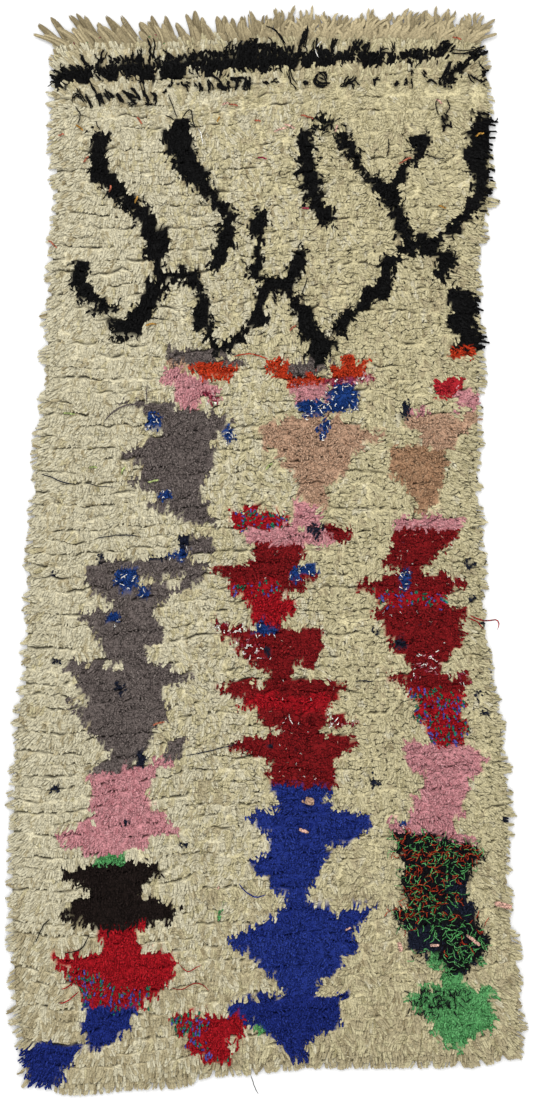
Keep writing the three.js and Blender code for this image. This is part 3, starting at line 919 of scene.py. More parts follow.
def laid_yarns(name, strokes, wools, seed, rough=0.5 * MM):
    """Yarns that lie over the pile, each (wool, thickness in mm, the places it passes in cm)."""
    draw = np.random.default_rng(seed)
    paths = []
    for _, _, *places in strokes:
        places = np.array(places, float)
        steps = np.concatenate([[0], np.cumsum(np.linalg.norm(np.diff(places, axis=0), axis=1))])
        at = np.linspace(0, steps[-1], LAID_STATIONS)
        path = np.stack([np.interp(at, steps, places[:, axis]) for axis in (0, 1)], 1)
        for _ in range(2):
            path[1:-1] = (path[:-2] + 2 * path[1:-1] + path[2:]) / 4
        crooked = np.cumsum(draw.normal(0, rough, path.shape), axis=0)
        path = path * CM + crooked + draw.normal(0, 2 * rough, (1, 2))
        waves = np.linspace(0, 3 * math.pi, LAID_STATIONS) + draw.uniform(0, 6)
        level = LAID_LEVEL + LAID_WAVES * np.sin(waves)
        level[[0, -1]] -= LAID_END_DROP
        paths.append(np.column_stack([path, level]))
    swell = np.array([0, 0.75, 0.94] + [1.0] * (LAID_STATIONS - 6) + [0.94, 0.75, 0])
    halves = np.array([stroke[1] for stroke in strokes])[:, None] * MM / 2 * swell
    picks = np.array([stroke[0] for stroke in strokes])
    return yarn_piece(name, np.array(paths), halves, draw.uniform(0.2, 0.8, len(strokes)), wools, picks)


black_wool = wool("black_wool", (7, 7, 7), (16, 16, 16))
band_knots = claim(band_of(BLACK_BAND), *[rows_of(chart) for chart in BLACK_CORNER])
tufts("black_band", band_knots, BAND_YARN, [black_wool], seed=7)
black_knots = charted(BLACK_STROKES)
tufts("black_strokes", black_knots, WIRY_YARN, [black_wool], seed=7)
is_black = np.zeros((ROWS, KNOTS), bool)
is_black[black_knots] = True
is_black[band_knots] = True
beside = [np.roll(is_black, step, axis) for axis in (0, 1) for step in (1, -1)]
black_edge = np.nonzero(is_black & ~np.all(beside, axis=0))
strays("black_strays", black_edge, [black_wool],
       each=0.5, long=17 * MM, thick=2.4 * MM, curl=0.55, seed=7)
plies = [
    (0, 0.62 * thick + 0.6, *places)
    for thick, *places in BLACK_TICKS + BLACK_SPIKES
    for _ in range(TICK_PLIES)
]
laid_yarns("black_ticks", plies, [black_wool], 38, rough=0.8 * MM)

# The grey lozenges of the left column and a few grey bars above them, in a soft felted yarn of mixed
# dark wool. They are knotted row by row on the same warps as the ivory pile.
GREY_CHARTS = (
    ((38.2, -19, -13), (36.5, -19, -5), (35.6, -19, -3.5), (34.8, -5, -3.5)),
    ((35.9, 5.2, 12.5), (33.2, 5.2, 12.5)),
    ((28.3, -27, -23), (26.5, -23, -13), (25, -20, -5), (23, -19.5, -8), (21, -20, -10), (19.5, -25.5, -9.5),
     (17.5, -26.5, -8.5), (16, -23.5, -11), (14.5, -23, -10.5), (13, -27, -11.5), (11.5, -22.5, -12),
     (10, -20, -12), (8.5, -22.5, -9.5), (6.5, -16.5, -9.5), (4.9, -15, -10)),
    ((2.5, -15, -10), (1, -15, -9), (-0.7, -13.5, -8.5)),
    ((-1.8, -30.5, -12), (-3, -33, -11), (-4.5, -35, -10.5), (-6, -34, -12.5), (-7.5, -33.5, -14.5),
     (-9, -31, -18), (-10.5, -28.5, -20), (-12, -27.5, -21)),
    ((-11.3, -36, -22.5), (-13.5, -35.5, -20), (-15, -33.5, -18.5), (-17, -31.5, -18.5), (-18.5, -30.3, -22),
     (-21.5, -29.5, -22)),
    ((-21.5, -37.5, -21), (-23, -38.5, -17), (-24.5, -36.5, -13.5), (-26, -35, -17.5), (-27.5, -34, -21),
     (-29, -33, -19), (-30, -36.5, -17), (-32, -35.5, -19), (-34, -34.5, -20.5), (-36, -32, -21),
     (-38, -30, -22.5), (-39.5, -28.5, -24), (-41, -32, -25), (-42.4, -34, -27)),
    ((-35.5, -17, -15.5), (-37.5, -18.5, -15), (-39.9, -19, -15.2)),
    ((-28.4, -38, -36.5), (-30, -37, -34)),
)
grey_wool = wool("grey_wool", (70, 62, 60), (95, 87, 83))
tufts("grey_lozenges", charted(GREY_CHARTS), FINE_YARN, [grey_wool], seed=9)

# The scraps under the black strokes: short bars of left-over yarns in orange and red, and in maroon
# mixed with pink and white. Each is only a few rows of knots high.
ORANGE_CHARTS = (
    ((35.7, -13, -10), (34.5, -13.5, -6), (32.5, -12, -5.5), (31.9, -9, -6)),
    ((36.3, 1, 5), (34, 0.3, 5), (32.5, 0.8, 11), (31.3, 4.5, 11)),
    ((36.4, 14.5, 19.5), (34.5, 12.8, 19.8), (32.6, 12.5, 18)),
    ((38.9, 35.5, 40.5), (36.5, 36, 40.2)),
)
MAROON_CHARTS = (
    ((33.9, 18, 20.5), (32.6, 11, 20.5), (30.9, 11, 18)),
    ((30.2, -11.5, -10), (28, -11, -7.5)),
)
SCRAP_RED_CHARTS = (((33, 33.5, 37.5), (31.5, 33, 39), (30, 32.5, 37), (28.8, 33, 35)),)
orange_wool = wool("orange_wool", (135, 33, 14), (160, 51, 25))
maroon_wool = wool("maroon_wool", (98, 24, 40), (130, 50, 66))
pink_wool = wool("pink_wool", (152, 95, 100), (178, 128, 131), grain=0.4)
scrap_red_wool = wool("scrap_red_wool", (130, 16, 26), (152, 38, 44))
tufts("orange_scraps", charted(ORANGE_CHARTS), FINE_YARN, [orange_wool], seed=10)
maroon_knots = charted(MAROON_CHARTS)
tufts("maroon_scraps", maroon_knots, FINE_YARN, [maroon_wool, pink_wool, white_wool], (4, 4, 1), seed=11)
tufts("red_scrap", charted(SCRAP_RED_CHARTS), FINE_YARN, [scrap_red_wool], seed=12)

# The tan lozenges of the middle and right columns, in a felted camel yarn. The low half of the right
# one is knotted from a darker dye lot.
TAN_CHARTS = (
    ((35.7, -18.5, -13.5), (34, -18, -14)),
    ((25.2, 5, 14), (24, -1, 15), (22.5, -1, 21), (21, 0.5, 23), (19.5, 0.7, 19.5), (17.5, 2.5, 17),
     (15.5, 4, 15.5), (13.5, 6, 15), (12, 6, 11.5), (9.5, 7, 12.5), (7.8, 9.5, 12)),
    ((25.7, 28, 42), (24, 27, 40), (22, 29, 38), (20, 31.5, 37), (19, 33, 36)),
)
DARK_TAN_CHARTS = (
    ((19.9, 25, 31), (18.5, 24.3, 34.5), (16, 24.2, 35), (13.5, 24.7, 34), (12, 26, 34), (10.5, 28.2, 33),
     (8.5, 29, 32), (6.8, 29, 31.3)),
)
tan_wool = wool("tan_wool", (140, 108, 86), (163, 135, 113), grain=0.5)
dark_tan_wool = wool("dark_tan_wool", (125, 92, 67), (146, 117, 92), grain=0.5)
tufts("tan_lozenges", charted(TAN_CHARTS), FINE_YARN, [tan_wool], seed=13)
tufts("dark_tan_lozenge", charted(DARK_TAN_CHARTS), FINE_YARN, [dark_tan_wool], seed=14)

# The tweed lozenges: wools of two or three colours tied together, so that the pile is speckled.
# Pale threads lie loose on the red ones, and thin green and rust cords curl over the black ones.
RED_TWEED_CHARTS = (
    ((7.6, -6, 0), (6.5, -5.8, 4), (5, -5.8, 5), (4, -5, 3)),
    ((-5.9, -6.5, 3), (-7.2, -8, 3.5), (-8.7, -5, 4)),
    ((-8, 20.5, 34.5), (-9.3, 21.5, 35), (-11, 22, 33.5)),
    ((-26.7, 26.5, 38.5), (-28.3, 28.5, 38.5), (-31.5, 28, 37.5), (-33.5, 30.8, 39), (-35.5, 31.5, 38.5),
     (-37.8, 33, 38)),
    ((-80.5, -37, -31), (-82.5, -36.5, -30), (-84, -35.5, -21.5), (-86, -34.5, -22), (-87.5, -29, -22.5)),
    ((-88.4, -16.5, -10.5), (-91, -17.5, -11), (-93.5, -15.5, -11.5), (-98, -9.5, -6)),
)
FLECKED_CHARTS = (
    ((-13.8, -9.5, -7), (-15.5, -8.5, -3), (-17.6, -8, -4)),
    ((-17.2, -4.6, -1), (-20.5, -4, 0)),
    ((-31.5, 12, 15.5), (-33.5, 12, 18)),
    ((-19.5, 29, 34), (-24, 28.5, 33)),
    ((-23, 37, 40), (-26, 36.5, 39)),
)
NIGHT_TWEED_CHARTS = (
    ((-53.9, 24.5, 31), (-56, 25, 40.5), (-58.5, 25.7, 42), (-60.5, 26.3, 39.5), (-62, 25.5, 39),
     (-64.5, 27, 38.5), (-67, 26.8, 38.5), (-68.5, 25.6, 39.5), (-70.5, 26, 41)),
)
BLACK_TWEED_CHARTS = (
    ((-70.5, 25.5, 40.8), (-73, 27, 41.5), (-75, 26.8, 43.5), (-77.3, 28, 41)),
    ((-77.2, 34.2, 41), (-79.5, 33.8, 40), (-81.4, 34, 39)),
)
dark_red_wool = wool("dark_red_wool", (85, 10, 14), (108, 21, 23))
bright_red_wool = wool("bright_red_wool", (116, 8, 16), (139, 20, 28))
violet_wool = wool("violet_wool", (48, 46, 108), (74, 72, 138))
sea_green_wool = wool("sea_green_wool", (10, 70, 54), (30, 100, 76))
night_wool = wool("night_wool", (9, 9, 11), (20, 20, 24))
ember_wool = wool("ember_wool", (122, 34, 18), (148, 54, 32))
tufts("red_tweed", charted(RED_TWEED_CHARTS), FINE_YARN,
      [bright_red_wool, violet_wool, sea_green_wool], (4, 1.5, 1.5), seed=15)
flecked_knots = charted(FLECKED_CHARTS)
tufts("flecked_red", flecked_knots, FINE_YARN, [dark_red_wool, maroon_wool], (5, 1), seed=16)
strays("flecked_threads", flecked_knots, [white_wool, pink_wool], (2, 1),
       each=0.7, long=11 * MM, thick=1.5 * MM, curl=0.9, seed=16)
night_knots = charted(NIGHT_TWEED_CHARTS)
tufts("night_tweed", night_knots, CORD_YARN, [night_wool], seed=17)
strays("night_cords", night_knots, [leaf_wool, ember_wool, night_wool], (4, 4, 3),
       each=2.4, long=19 * MM, thick=1.35 * MM, curl=0.46, ways=(0, 180), spread=8, seed=17)
black_tweed_knots = charted(BLACK_TWEED_CHARTS)
tufts("black_tweed", black_tweed_knots, CORD_YARN, [night_wool, navy_wool], (3, 1), seed=18)
strays("black_tweed_cords", black_tweed_knots, [leaf_wool, night_wool, ember_wool], (7, 4, 0.8),
       each=1.5, long=21 * MM, thick=1.45 * MM, curl=0.5, ways=(200, 280, 330), spread=20, seed=18)

# The red lozenges of the middle and right columns and the low left one: two dye lots, a deep red
# and a brighter one, in a fine close yarn. Lint has caught in the deep red.
BRIGHT_RED_CHARTS = (
    ((-8.5, -3.5, 5), (-10.5, -3.7, 6), (-12, -2.5, 6), (-13.5, -2, 4), (-15.2, -1, 3)),
    ((-27.8, -2.5, 13), (-29.3, -4.5, 13), (-30.6, -5, 12.5)),
    ((-71.5, -24.5, -22), (-73.3, -31, -23.3), (-76, -30.5, -24.5), (-77, -39, -18), (-79, -40.5, -16),
     (-81, -37.5, -17.5), (-83, -35, -18.5), (-86.5, -34.5, -22)),
    ((-88.4, -11, -5), (-91, -11, -3), (-93, -12, -3), (-95, -15, -5.5), (-98.2, -10, -6)),
)
DARK_RED_CHARTS = (
    ((4.8, 11, 14), (4, 11, 17), (2.5, 12, 17.2), (1.3, 14.5, 15.5)),
    ((1.2, -1.7, 8.5), (0, -2.3, 9), (-1.5, -0.5, 8), (-2.6, -3, 6), (-3.4, -9, 5.5), (-4.3, -10, 9),
     (-5.3, -8, 10.8), (-6.3, -3, 10)),
    ((-6.3, 3, 7.5), (-8, 3.5, 8)),
    ((-15, -8, 11.5), (-16.5, -5, 11.5), (-19, -4.8, 11.8), (-20.5, -4, 9.5), (-22, -2.8, 9.5),
     (-23, -0.5, 5), (-25, 1.5, 5)),
    ((-24.8, 1, 14), (-26, -9, 15.8), (-27.5, -8, 13), (-28.5, -4.5, 12.5), (-31, -1.5, 12), (-33.5, 0, 11),
     (-35.2, 6, 10.5)),
    ((-35, 4, 17), (-36.3, -5, 19), (-37.5, -6, 17.5), (-39, -1.5, 14.5), (-41, 2.2, 13.8), (-43, 1.2, 14.2),
     (-45, 1.5, 13.8)),
    ((4, 25, 37), (2.5, 24.2, 37.5), (1, 25.3, 35.5), (-0.6, 24.6, 33.5), (-1.5, 22.4, 33.2), (-3, 22, 31),
     (-4, 25.8, 31), (-5, 23, 37), (-6.3, 17.7, 39.2), (-7.4, 18, 38.5), (-8.2, 19, 34)),
    ((-10.8, 21.3, 39), (-12.5, 20.8, 39.5), (-14, 23, 37.8), (-15.5, 22.8, 39), (-17.5, 23.5, 37.8),
     (-19.5, 24.5, 35.8), (-21.5, 27, 34.3), (-23.8, 28.5, 33)),
    ((-23.8, 24, 33), (-25, 24.3, 38.5), (-26.8, 26.5, 38)),
)
rose_wool = wool("rose_wool", (168, 128, 114), (192, 158, 142))
tufts("bright_red_lozenges", charted(BRIGHT_RED_CHARTS), FINE_YARN, [bright_red_wool], seed=19)
dark_red_knots = charted(DARK_RED_CHARTS)
tufts("dark_red_lozenges", dark_red_knots, FINE_YARN, [dark_red_wool], seed=20)
strays("lint", dark_red_knots, [rose_wool, white_wool, navy_wool], (2, 2, 1),
       each=0.1, long=8 * MM, thick=0.7 * MM, curl=0.9, seed=20)

# The pink lozenges and bars of all three columns, in a soft yarn that has faded unevenly. They are
# knotted row by row, between the greys and reds above and the darker lozenges below.
PINK_CHARTS = (
    ((34, -19.5, -15), (32, -20, -11.5), (30.5, -17.5, -7), (28.5, -16.8, -12), (26.2, -15.7, -12.8)),
    ((31.8, 5.5, 10), (30.3, 4.2, 13), (28.6, 6, 12.5)),
    ((30.8, 36.5, 40), (29, 36.3, 42), (27, 37, 41)),
    ((26.4, 28, 32), (25.3, 28, 31)),
    ((9.2, 5.5, 8), (7.5, 6, 11), (5.2, 5, 10.8), (4.4, 3.5, 8.5)),
    ((4.2, -4.6, 8.5), (2.2, -4, 13), (0.7, -1, 13.3)),
    ((6.2, 27, 38), (5.1, 24.3, 38.5), (3.9, 24.5, 37)),
    ((-39.4, -19.5, -16), (-41, -22, -17), (-42.4, -33.5, -20.3), (-44, -33.3, -20.3), (-46, -32, -22),
     (-49, -34, -22), (-51, -31.5, -18.5), (-52.5, -34, -17), (-54, -39, -16), (-55.8, -39.3, -20),
     (-57, -37, -22.5), (-58.3, -33.5, -29)),
    ((-36.4, 25.5, 31), (-38, 26.8, 42), (-40, 27.5, 43), (-42, 28.5, 41.8), (-44, 30.5, 39), (-46, 30, 38.5),
     (-48, 29, 37.5), (-50.3, 28, 38.5), (-51.5, 24, 35.5), (-53, 22.8, 36.5), (-54.6, 27, 42),
     (-55.8, 38, 41.5)),
)
tufts("pink_lozenges", charted(PINK_CHARTS), FINE_YARN, [pink_wool], seed=21)

# The brown-black lozenge of the left column, in undyed dark fleece. It is knotted in the same fine
# close yarn as the dyed lozenges round it.
BROWN_CHARTS = (
    ((-59.4, -26, -20.5), (-61, -39, -20), (-62.5, -38.5, -19.3), (-64, -35.5, -23), (-65.8, -33, -23.5),
     (-67, -36, -17), (-69, -39.5, -16.3), (-71, -38, -17.5), (-72.3, -33.5, -24.5), (-74, -31.5, -27)),
)
brown_wool = wool("brown_black_wool", (15, 10, 8), (28, 21, 19))
tufts("brown_black_lozenge", charted(BROWN_CHARTS), FINE_YARN, [brown_wool], seed=22)

# The blue lozenges of the middle column and of the low left corner, in a dense felted yarn. Those
# next to the foot are knotted from a deeper dye lot.
BLUE_CHARTS = (
    ((-44.6, 3, 13), (-46, 1, 13), (-48.3, 3.5, 11.5), (-49.3, 3, 15), (-50.4, -4, 20), (-53, -2.3, 20.5),
     (-54.8, 1, 18.5), (-57, 2, 12.3), (-59, -3, 11.5), (-61, -2.5, 10), (-63.5, 0.5, 9.7), (-65.5, 2, 8.8),
     (-67.5, 4.5, 8.5)),
    ((-67.5, 4, 9), (-68.7, 2.5, 13), (-70, 1.5, 20.3), (-71.5, -1.5, 19), (-73, -6, 17.3), (-75, -7.5, 17.8),
     (-77, -3, 17.5), (-79, -1.8, 15), (-81, 0.5, 11.8), (-83, 3, 10.4), (-84.6, 4.5, 10)),
    ((-68, 16, 21.5), (-70, 15, 20.5)),
    ((-84.6, 0, 16.5), (-86.4, -6, 14), (-88, -7, 14), (-90, -4.5, 14.5), (-91.5, -1, 12.5), (-93, 1, 9.5),
     (-94.3, 3.5, 8), (-96, 4.3, 8.5), (-97.6, 5, 9.3)),
    ((-86, -34.5, -26), (-88.5, -34.5, -22.8), (-90.5, -34.5, -25), (-92.5, -34.3, -27), (-95.6, -33, -30.8)),
    ((-94, -43.5, -41.5), (-95.2, -47.8, -34.8), (-97.5, -46.5, -36.3), (-100, -46, -38), (-103, -45, -40)),
)
blue_wool = wool("blue_wool", (16, 28, 88), (33, 47, 110))
deep_blue_wool = wool("deep_blue_wool", (13, 24, 80), (28, 40, 102))
deep_blue_knots = charted(BLUE_CHARTS[3:])
tufts("deep_blue_lozenges", deep_blue_knots, FINE_YARN, [deep_blue_wool], seed=43)
tufts("blue_lozenges", charted(BLUE_CHARTS), FINE_YARN, [blue_wool], seed=23)

# The green lozenge of the right column and a green bar on the left, in a loose thick cord yarn.
# Short black ends are tied into the lozenge at its upper left.
GREEN_CHARTS = (
    ((-57.8, -31, -26.3), (-60.6, -32.5, -26)),
    ((-76.8, 30.3, 34.3), (-79.6, 31, 34)),
    ((-80.8, 33.8, 38.2), (-82.6, 33.2, 38.4), (-83.2, 31.5, 46), (-84.6, 26.6, 45.2), (-86, 28.4, 43.8),
     (-87.8, 28.6, 43.6), (-89, 30.8, 44.2), (-90.8, 32.2, 44), (-91.8, 31.2, 42.4), (-92.6, 33.6, 40),
     (-94.6, 34.2, 39.2)),
    ((-77.2, 39.8, 42.2), (-78.8, 40.2, 42)),
)
GREEN_FLECK_SPOTS = ((31.5, -86.2, 10, 4), (36.5, -85.4, 4, 2.4))
green_wool = wool("green_wool", (52, 107, 58), (83, 137, 86))
green_knots = charted(GREEN_CHARTS)
tufts("green_lozenges", green_knots, CORD_YARN, [green_wool], seed=24)
flecked = spots_of(GREEN_FLECK_SPOTS)[green_knots]
fleck_knots = [place[flecked] for place in green_knots]
strays("green_flecks", fleck_knots, [night_wool],
       each=1.7, long=13 * MM, thick=2.2 * MM, curl=0.4, ways=(60, 90, 240), seed=24)

# The ivory pile: all the other knots, in a thick soft hand-spun yarn of undyed wool, in four bands.
# The fleece is yellower to the right, and browner from wear at the foot and in a few stains.
IVORY_BANDS = 4
STAINED_SHARE = 0.75
STAINS = (
    (20, -66.2, 15, 1.6),
    (-1, -68.6, 7, 1.4),
    (-12, -45, 3, 4),
    (-11, -66, 6, 1.6),
    (41, -96.4, 15, 3),
    (35, 54, 10, 2),
    (34, 47, 9, 1.4),
    (24, -38, 3, 3),
    (8, 33.2, 3, 1),
)
unclaimed[undyed] = True
draw = np.random.default_rng(29)
soiled_share = 0.05 + 0.12 * np.clip(waver(knot_x, knot_y, 0.14, 14), 0, 1) + 0.3 * near(to_foot, 0.02)
soiled_share += 0.4 * np.clip((-0.68 - knot_y) / 0.1, 0, 1) + 0.3 * np.clip((0.12 - to_head) / 0.05, 0, 1)
soiled_share = np.where(spots_of(STAINS), STAINED_SHARE, soiled_share)
ivory_wool = wool("ivory_wool", (148, 139, 111), (195, 189, 164), grain=0.18, crease=1.0)
soiled_wool = wool("soiled_wool", (125, 113, 85), (173, 163, 132), grain=0.18, crease=1.0)
buff_wool = wool("buff_wool", (140, 131, 98), (189, 180, 146), grain=0.18, crease=1.0)


def undyed_pile(name, knots, fleece, seed):
    """Ties the knots in undyed yarn, as one piece of the pile."""
    tufts(name, knots, THICK_YARN, [fleece], seed=seed)


undyed_pile("soiled_pile", claim(draw.random((ROWS, KNOTS)) < soiled_share), soiled_wool, seed=29)
buff = draw.random((ROWS, KNOTS)) < np.clip((knot_x + 0.3) / 0.5, 0.05, 0.95)
pile_band = np.repeat(np.arange(ROWS)[:, None] * IVORY_BANDS // ROWS, KNOTS, axis=1)
for band in range(IVORY_BANDS):
    undyed_pile(f"buff_pile_{band + 1}", claim(buff & (pile_band == band)), buff_wool, seed=30 + band)
    undyed_pile(f"ivory_pile_{band + 1}", claim(pile_band == band), ivory_wool, seed=35 + band)

# The backs of the knots: each is wrapped round the warps, so its dye shows through the ground cloth. The
# ground is painted a quarter lighter than the dye, as painted light against the shade of the ends over it,
# and in the cracks it is painted darker, as painted shade, because little light gets in.
cloth_row = np.clip((along * ROWS).astype(int), 0, ROWS - 1)
cloth_knot = np.clip((across * KNOTS).astype(int), 0, KNOTS - 1)
backs_painted_light_and_shade = knot_dye[cloth_row, cloth_knot].reshape(-1, 4) * (1.25 - 1.15 * crack.reshape(-1, 1))
backs_painted_light_and_shade = np.concatenate([backs_painted_light_and_shade, backs_painted_light_and_shade[rim]])
cloth_dye = cloth_mesh.attributes.new("dye", "FLOAT_COLOR", "POINT").data
cloth_dye.foreach_set("color", backs_painted_light_and_shade.astype(np.float32).ravel())

# The head fringe: warp ends of undyed wool, drawn into pointed locks at the left and left fluffy at
# the right, long ones below and shorter ones over them. Coloured weft ends show in the last rows.
LOCKS = 48
LOCK_YARNS = 8
LOCK_LAYERS = (  # height over the floor, shortest and longest in mm, paleness
    (2.8, 42, 66, 0.22),
    (6.6, 20, 46, 0.52),
)
LOCK_LEAN = ((0, -50), (0.08, -32), (0.25, -20), (0.42, -8), (0.6, 4), (0.85, 12), (0.95, 15), (1, 24))
LOCK_STATIONS = np.array([0, 0.12, 0.28, 0.45, 0.62, 0.78, 0.91, 1.0])
LOCK_WIDTH = np.array([0.8, 1, 1, 1, 0.92, 0.74, 0.48, 0.2]) * 6.4 * MM
LOCK_SWELL = np.array([0, 1, 1.1, 1.1, 1.05, 1, 0.85, 0])
LOCK_YARN_THICK = 3.4 * MM
LOCK_ROOT = 8 * MM
LOCK_HEAP = 2.4 * MM
FLUFFY_FROM = 0.42
FLUFFY_RUN = 0.2
FLUFFY_YARN_THICK = 6 * MM
FLUFFY_WIDTH = 9 * MM
FLUFFY_WAVE = 3.4 * MM
FLUFFY_LONGER = 6 * MM
FLUFFY_PALER = 0.32
warp_wool = wool("warp_wool", (110, 99, 75), (164, 151, 119), grain=0.2, crease=0.0)
draw = np.random.default_rng(41)
lock_paths, lock_halves, lock_tones = [], [], []
for level, shortest, longest, pale in LOCK_LAYERS:
    lock_at = (np.arange(LOCKS) + draw.uniform(0.15, 0.85, LOCKS)) / LOCKS
    lock_tip = np.interp(lock_at, *np.transpose(LOCK_LEAN)) * MM + draw.normal(0, 6 * MM, LOCKS)
    lock_long = draw.uniform(shortest, longest, LOCKS) * MM
    lock_bow = draw.normal(0, 4 * MM, LOCKS)
    lock_at, lock_tip, lock_long, lock_bow = (
        np.repeat(each, LOCK_YARNS)[:, None] for each in (lock_at, lock_tip, lock_long, lock_bow)
    )
    _, head_edge = eased(ENDS, lock_at)
    left, right = eased(SELVEDGES, head_edge)
    side = np.tile(np.linspace(-1, 1, LOCK_YARNS), LOCKS)[:, None]
    fluffy = np.clip((lock_at - FLUFFY_FROM) / FLUFFY_RUN, 0, 1)
    uneven = draw.uniform(0.86, 1.0, side.shape) + fluffy * draw.uniform(-0.5, 0.1, side.shape)
    t = LOCK_STATIONS[None, :]
    spread = LOCK_WIDTH * (1 - fluffy) + fluffy * FLUFFY_WIDTH * (0.8 + 0.5 * t)
    wave = fluffy * FLUFFY_WAVE * np.sin(2 * math.pi * (1.5 * t + draw.random(side.shape))) * np.sqrt(t)
    bow = lock_bow * np.sin(math.pi * t) + fluffy * draw.normal(0, FLUFFY_WIDTH, side.shape) * t * t
    x = (left + (right - left) * lock_at) * CM + side * spread + lock_tip * t ** 1.3 + bow + wave
    y = head_edge * CM - LOCK_ROOT + (lock_long + FLUFFY_LONGER * fluffy) * uneven * t
    heap = LOCK_HEAP * (1 - side * side) + LOCK_HEAP * np.sin(math.pi * t) * draw.uniform(0, 1, side.shape)
    lock_paths.append(np.stack([x, y, level * MM + heap + 0 * x], -1))
    thick = LOCK_YARN_THICK + (FLUFFY_YARN_THICK - LOCK_YARN_THICK) * fluffy
    lock_halves.append(thick / 2 * draw.uniform(0.8, 1.1, side.shape) * LOCK_SWELL)
    lock_tones.append(pale + FLUFFY_PALER * fluffy.ravel())
lock_tones = np.concatenate(lock_tones)
head_fringe = yarn_piece(
    "head_fringe_locks",
    np.concatenate(lock_paths),
    np.concatenate(lock_halves),
    np.clip(lock_tones + draw.normal(0, 0.22, lock_tones.size), 0, 1),
    [warp_wool],
    np.zeros(lock_tones.size, int),
)
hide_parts("head_fringe")
head_knots = np.nonzero((to_head < 12 * MM) & ((knot_x < -0.1) | (knot_x > 0.18)))
strays("head_weft_ends", head_knots, [leaf_wool, maroon_wool, black_wool], (3, 2, 1),
       each=0.16, long=11 * MM, thick=1.5 * MM, curl=0.5, ways=(0, 180), seed=42)

# Loose yarn on the pile: ends that worked free, and scraps of other yarns caught in the knots. Each
# lies over the pile, and its two ends are sunk in it.
rust_wool = wool("rust_wool", (128, 66, 46), (150, 92, 72))
ochre_wool = wool("ochre_wool", (140, 98, 34), (160, 124, 64))
pale_green_wool = wool("pale_green_wool", (126, 140, 84), (148, 158, 104))
LOOSE_WOOLS = [black_wool, bright_red_wool, orange_wool, grey_wool, blue_wool, navy_wool, white_wool,
               rust_wool, ochre_wool, rose_wool, pale_green_wool, maroon_wool, leaf_wool, tan_wool]
(BLACK, RED, ORANGE, GREY, BLUE, NAVY, WHITE,
 RUST, OCHRE, ROSE, PALE_GREEN, MAROON, LEAF, TAN) = range(len(LOOSE_WOOLS))
LOOSE_ENDS = (  # wool, thickness in mm, the places it passes in cm
    (BLACK, 2.0, (-18, 86.8), (-17.2, 85), (-16, 82)),
    (BLACK, 2.2, (-35.2, 81), (-34.8, 83.4), (-36, 84.8)),
    (BLACK, 2.4, (-15.4, 82), (-14.4, 84), (-13.4, 84.3), (-13.6, 82.4), (-12.8, 80)),
    (BLACK, 2.4, (33.2, 82.5), (32.8, 84.8), (33.6, 86)),
    (BLACK, 2.4, (34.4, 82.5), (35.6, 84.5), (34.8, 86.3)),
    (BLACK, 2.0, (8, 52), (7.6, 50.4), (7, 48.5)),
    (BLACK, 2.0, (23.5, 78.4), (23.8, 76.2), (23.2, 74.8)),
    (BLACK, 2.0, (30, 75.5), (32.5, 74.8), (34.5, 74.6)),
    (BLACK, 2.2, (-40.3, -69.8), (-42, -72), (-43.5, -75)),
    (BLACK, 2.2, (-33, -72.5), (-33.8, -74.6), (-35, -76), (-38, -76.5)),
    (BLACK, 1.6, (-2.5, -99.5), (-1.8, -101.6), (-1, -103.4)),
    (RED, 2.0, (-18, -83), (-15.5, -83.6), (-13, -82), (-11.4, -82.6), (-10.2, -83.8)),
    (RED, 2.0, (-16, -78.6), (-14.5, -80.2), (-12, -78.8)),
    (RED, 2.4, (-35, -83.5), (-37, -85.4), (-39, -86)),
    (RED, 2.4, (-35, -81), (-37, -82.6), (-38.4, -83)),
    (RED, 2.6, (39, -12), (42, -13.2), (44.4, -12.6), (45, -13.6), (44.4, -14.8)),
    (RED, 2.4, (38.5, -12.8), (40.5, -13.4), (42, -15)),
    (ORANGE, 2.4, (-6, 37), (-2, 37.4), (1, 36.2)),
    (GREY, 3.2, (-30.6, 24.4), (-29.6, 25.8), (-28.4, 27.1), (-25, 28.2), (-20.5, 27.4), (-17, 26)),
    (GREY, 2.0, (-22.2, 28), (-22.4, 30.5), (-22.2, 31.6)),
    (BLUE, 2.4, (-4.5, -63), (-3, -65), (-1, -65.9), (1, -65.2)),
    (NAVY, 2.2, (-42.5, 14.6), (-40, 14), (-38, 13.2), (-36, 13)),
    (NAVY, 1.6, (-34, 12.8), (-31, 12.4), (-28, 12.1)),
    (NAVY, 2.4, (17.5, -24.8), (19, -24.6), (21, -24.9)),
    (NAVY, 2.0, (-15, -39), (-10, -37.9), (-5, -37)),
    (NAVY, 2.0, (-32.2, 2), (-30.6, 2.5), (-29.6, 2.2), (-28, 2.9), (-26.6, 2.6), (-25, 2.9), (-23, 2.3)),
    (TAN, 14, (8.1, -47.2), (9.7, -47.4)),
    (TAN, 5, (7.3, -47.5), (7.8, -47.8)),
    (ROSE, 6, (6.6, -52.9), (8.2, -53.6)),
    (ROSE, 10, (43.9, -66.7), (45.6, -67), (47.3, -67.5)),
    (ROSE, 8, (25.7, -74.2), (26.1, -75.8)),
    (ROSE, 5, (31.4, -75), (33, -74.6)),
    (ROSE, 6, (38.7, -72.9), (39.8, -73.8), (41.2, -74.7)),
    (WHITE, 1.6, (5, -31), (5.4, -32), (6, -33)),
    (WHITE, 1.6, (-12.6, 80.6), (-12, 79), (-11.6, 77.4)),
    (WHITE, 1.6, (11, 96.8), (9.6, 95.2), (10.4, 93.6)),
)
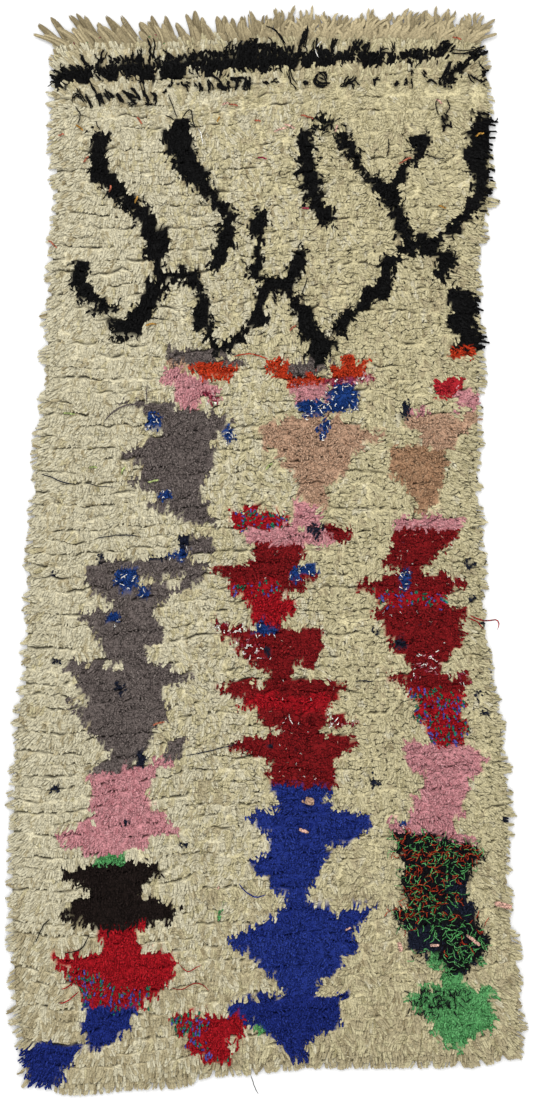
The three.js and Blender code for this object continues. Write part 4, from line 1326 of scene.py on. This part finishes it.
LOOSE_SCRAPS = (  # wool, across, along, length in cm, turn in degrees
    (RUST, -23.5, 81.6, 1.8, -55),
    (RUST, -38.5, 79, 1.2, 10),
    (RUST, -33.7, 74.6, 1.6, 60),
    (RUST, -29.2, 68.8, 1.2, 80),
    (RUST, -40.3, 58.4, 2.0, -30),
    (RUST, 8, 82.6, 2.4, -12),
    (RUST, -5.8, 84.4, 2.0, -15),
    (RUST, -1.2, 81.7, 1.2, 0),
    (RUST, -20.2, -32.8, 2.2, 20),
    (RUST, 36.8, 97.5, 2.0, -10),
    (RUST, 26.7, 74, 2.4, 25),
    (RUST, 5.5, 42.6, 1.6, 50),
    (OCHRE, -35, 80.4, 1.8, -35),
    (OCHRE, -24.3, 66.8, 1.4, 75),
    (OCHRE, 41, 79, 1.8, 20),
    (OCHRE, 33.9, 65.4, 1.6, -15),
    (OCHRE, -21.4, 43, 2.2, 15),
    (OCHRE, -8.6, 81.8, 0.8, 70),
    (ROSE, 3, 79.9, 2.6, 12),
    (ROSE, 5, 80.6, 2.4, -20),
    (ROSE, -7.3, 85, 1.2, 20),
    (ROSE, 13.6, 80.4, 1.6, 80),
    (ROSE, 15.9, -71.8, 1.3, 30),
    (ROSE, -8.7, -63.8, 0.8, 30),
    (ROSE, 33, 85.5, 1.4, -30),
    (PALE_GREEN, -26.8, 15.2, 1.8, 70),
    (PALE_GREEN, -21, 13.4, 2.4, 15),
    (PALE_GREEN, -32.5, 15.6, 1.6, 5),
    (PALE_GREEN, -37, 26, 2.2, -5),
    (PALE_GREEN, 1, 16, 1.8, 40),
    (MAROON, -0.2, 74.5, 1.8, -15),
    (MAROON, 8, 65, 1.4, 0),
    (LEAF, -8.4, -69.6, 1.0, 60),
)
LOOSE_SCRAP_THICK = 3.4
scraps = []
for pick, x, y, long, turn in LOOSE_SCRAPS:
    way = np.array([math.cos(math.radians(turn)), math.sin(math.radians(turn))]) * long / 2
    scraps.append((pick, LOOSE_SCRAP_THICK, (x, y) - way, (x, y + 0.15), (x, y) + way))
laid_yarns("loose_yarn", [*LOOSE_ENDS, *scraps], LOOSE_WOOLS, 43)
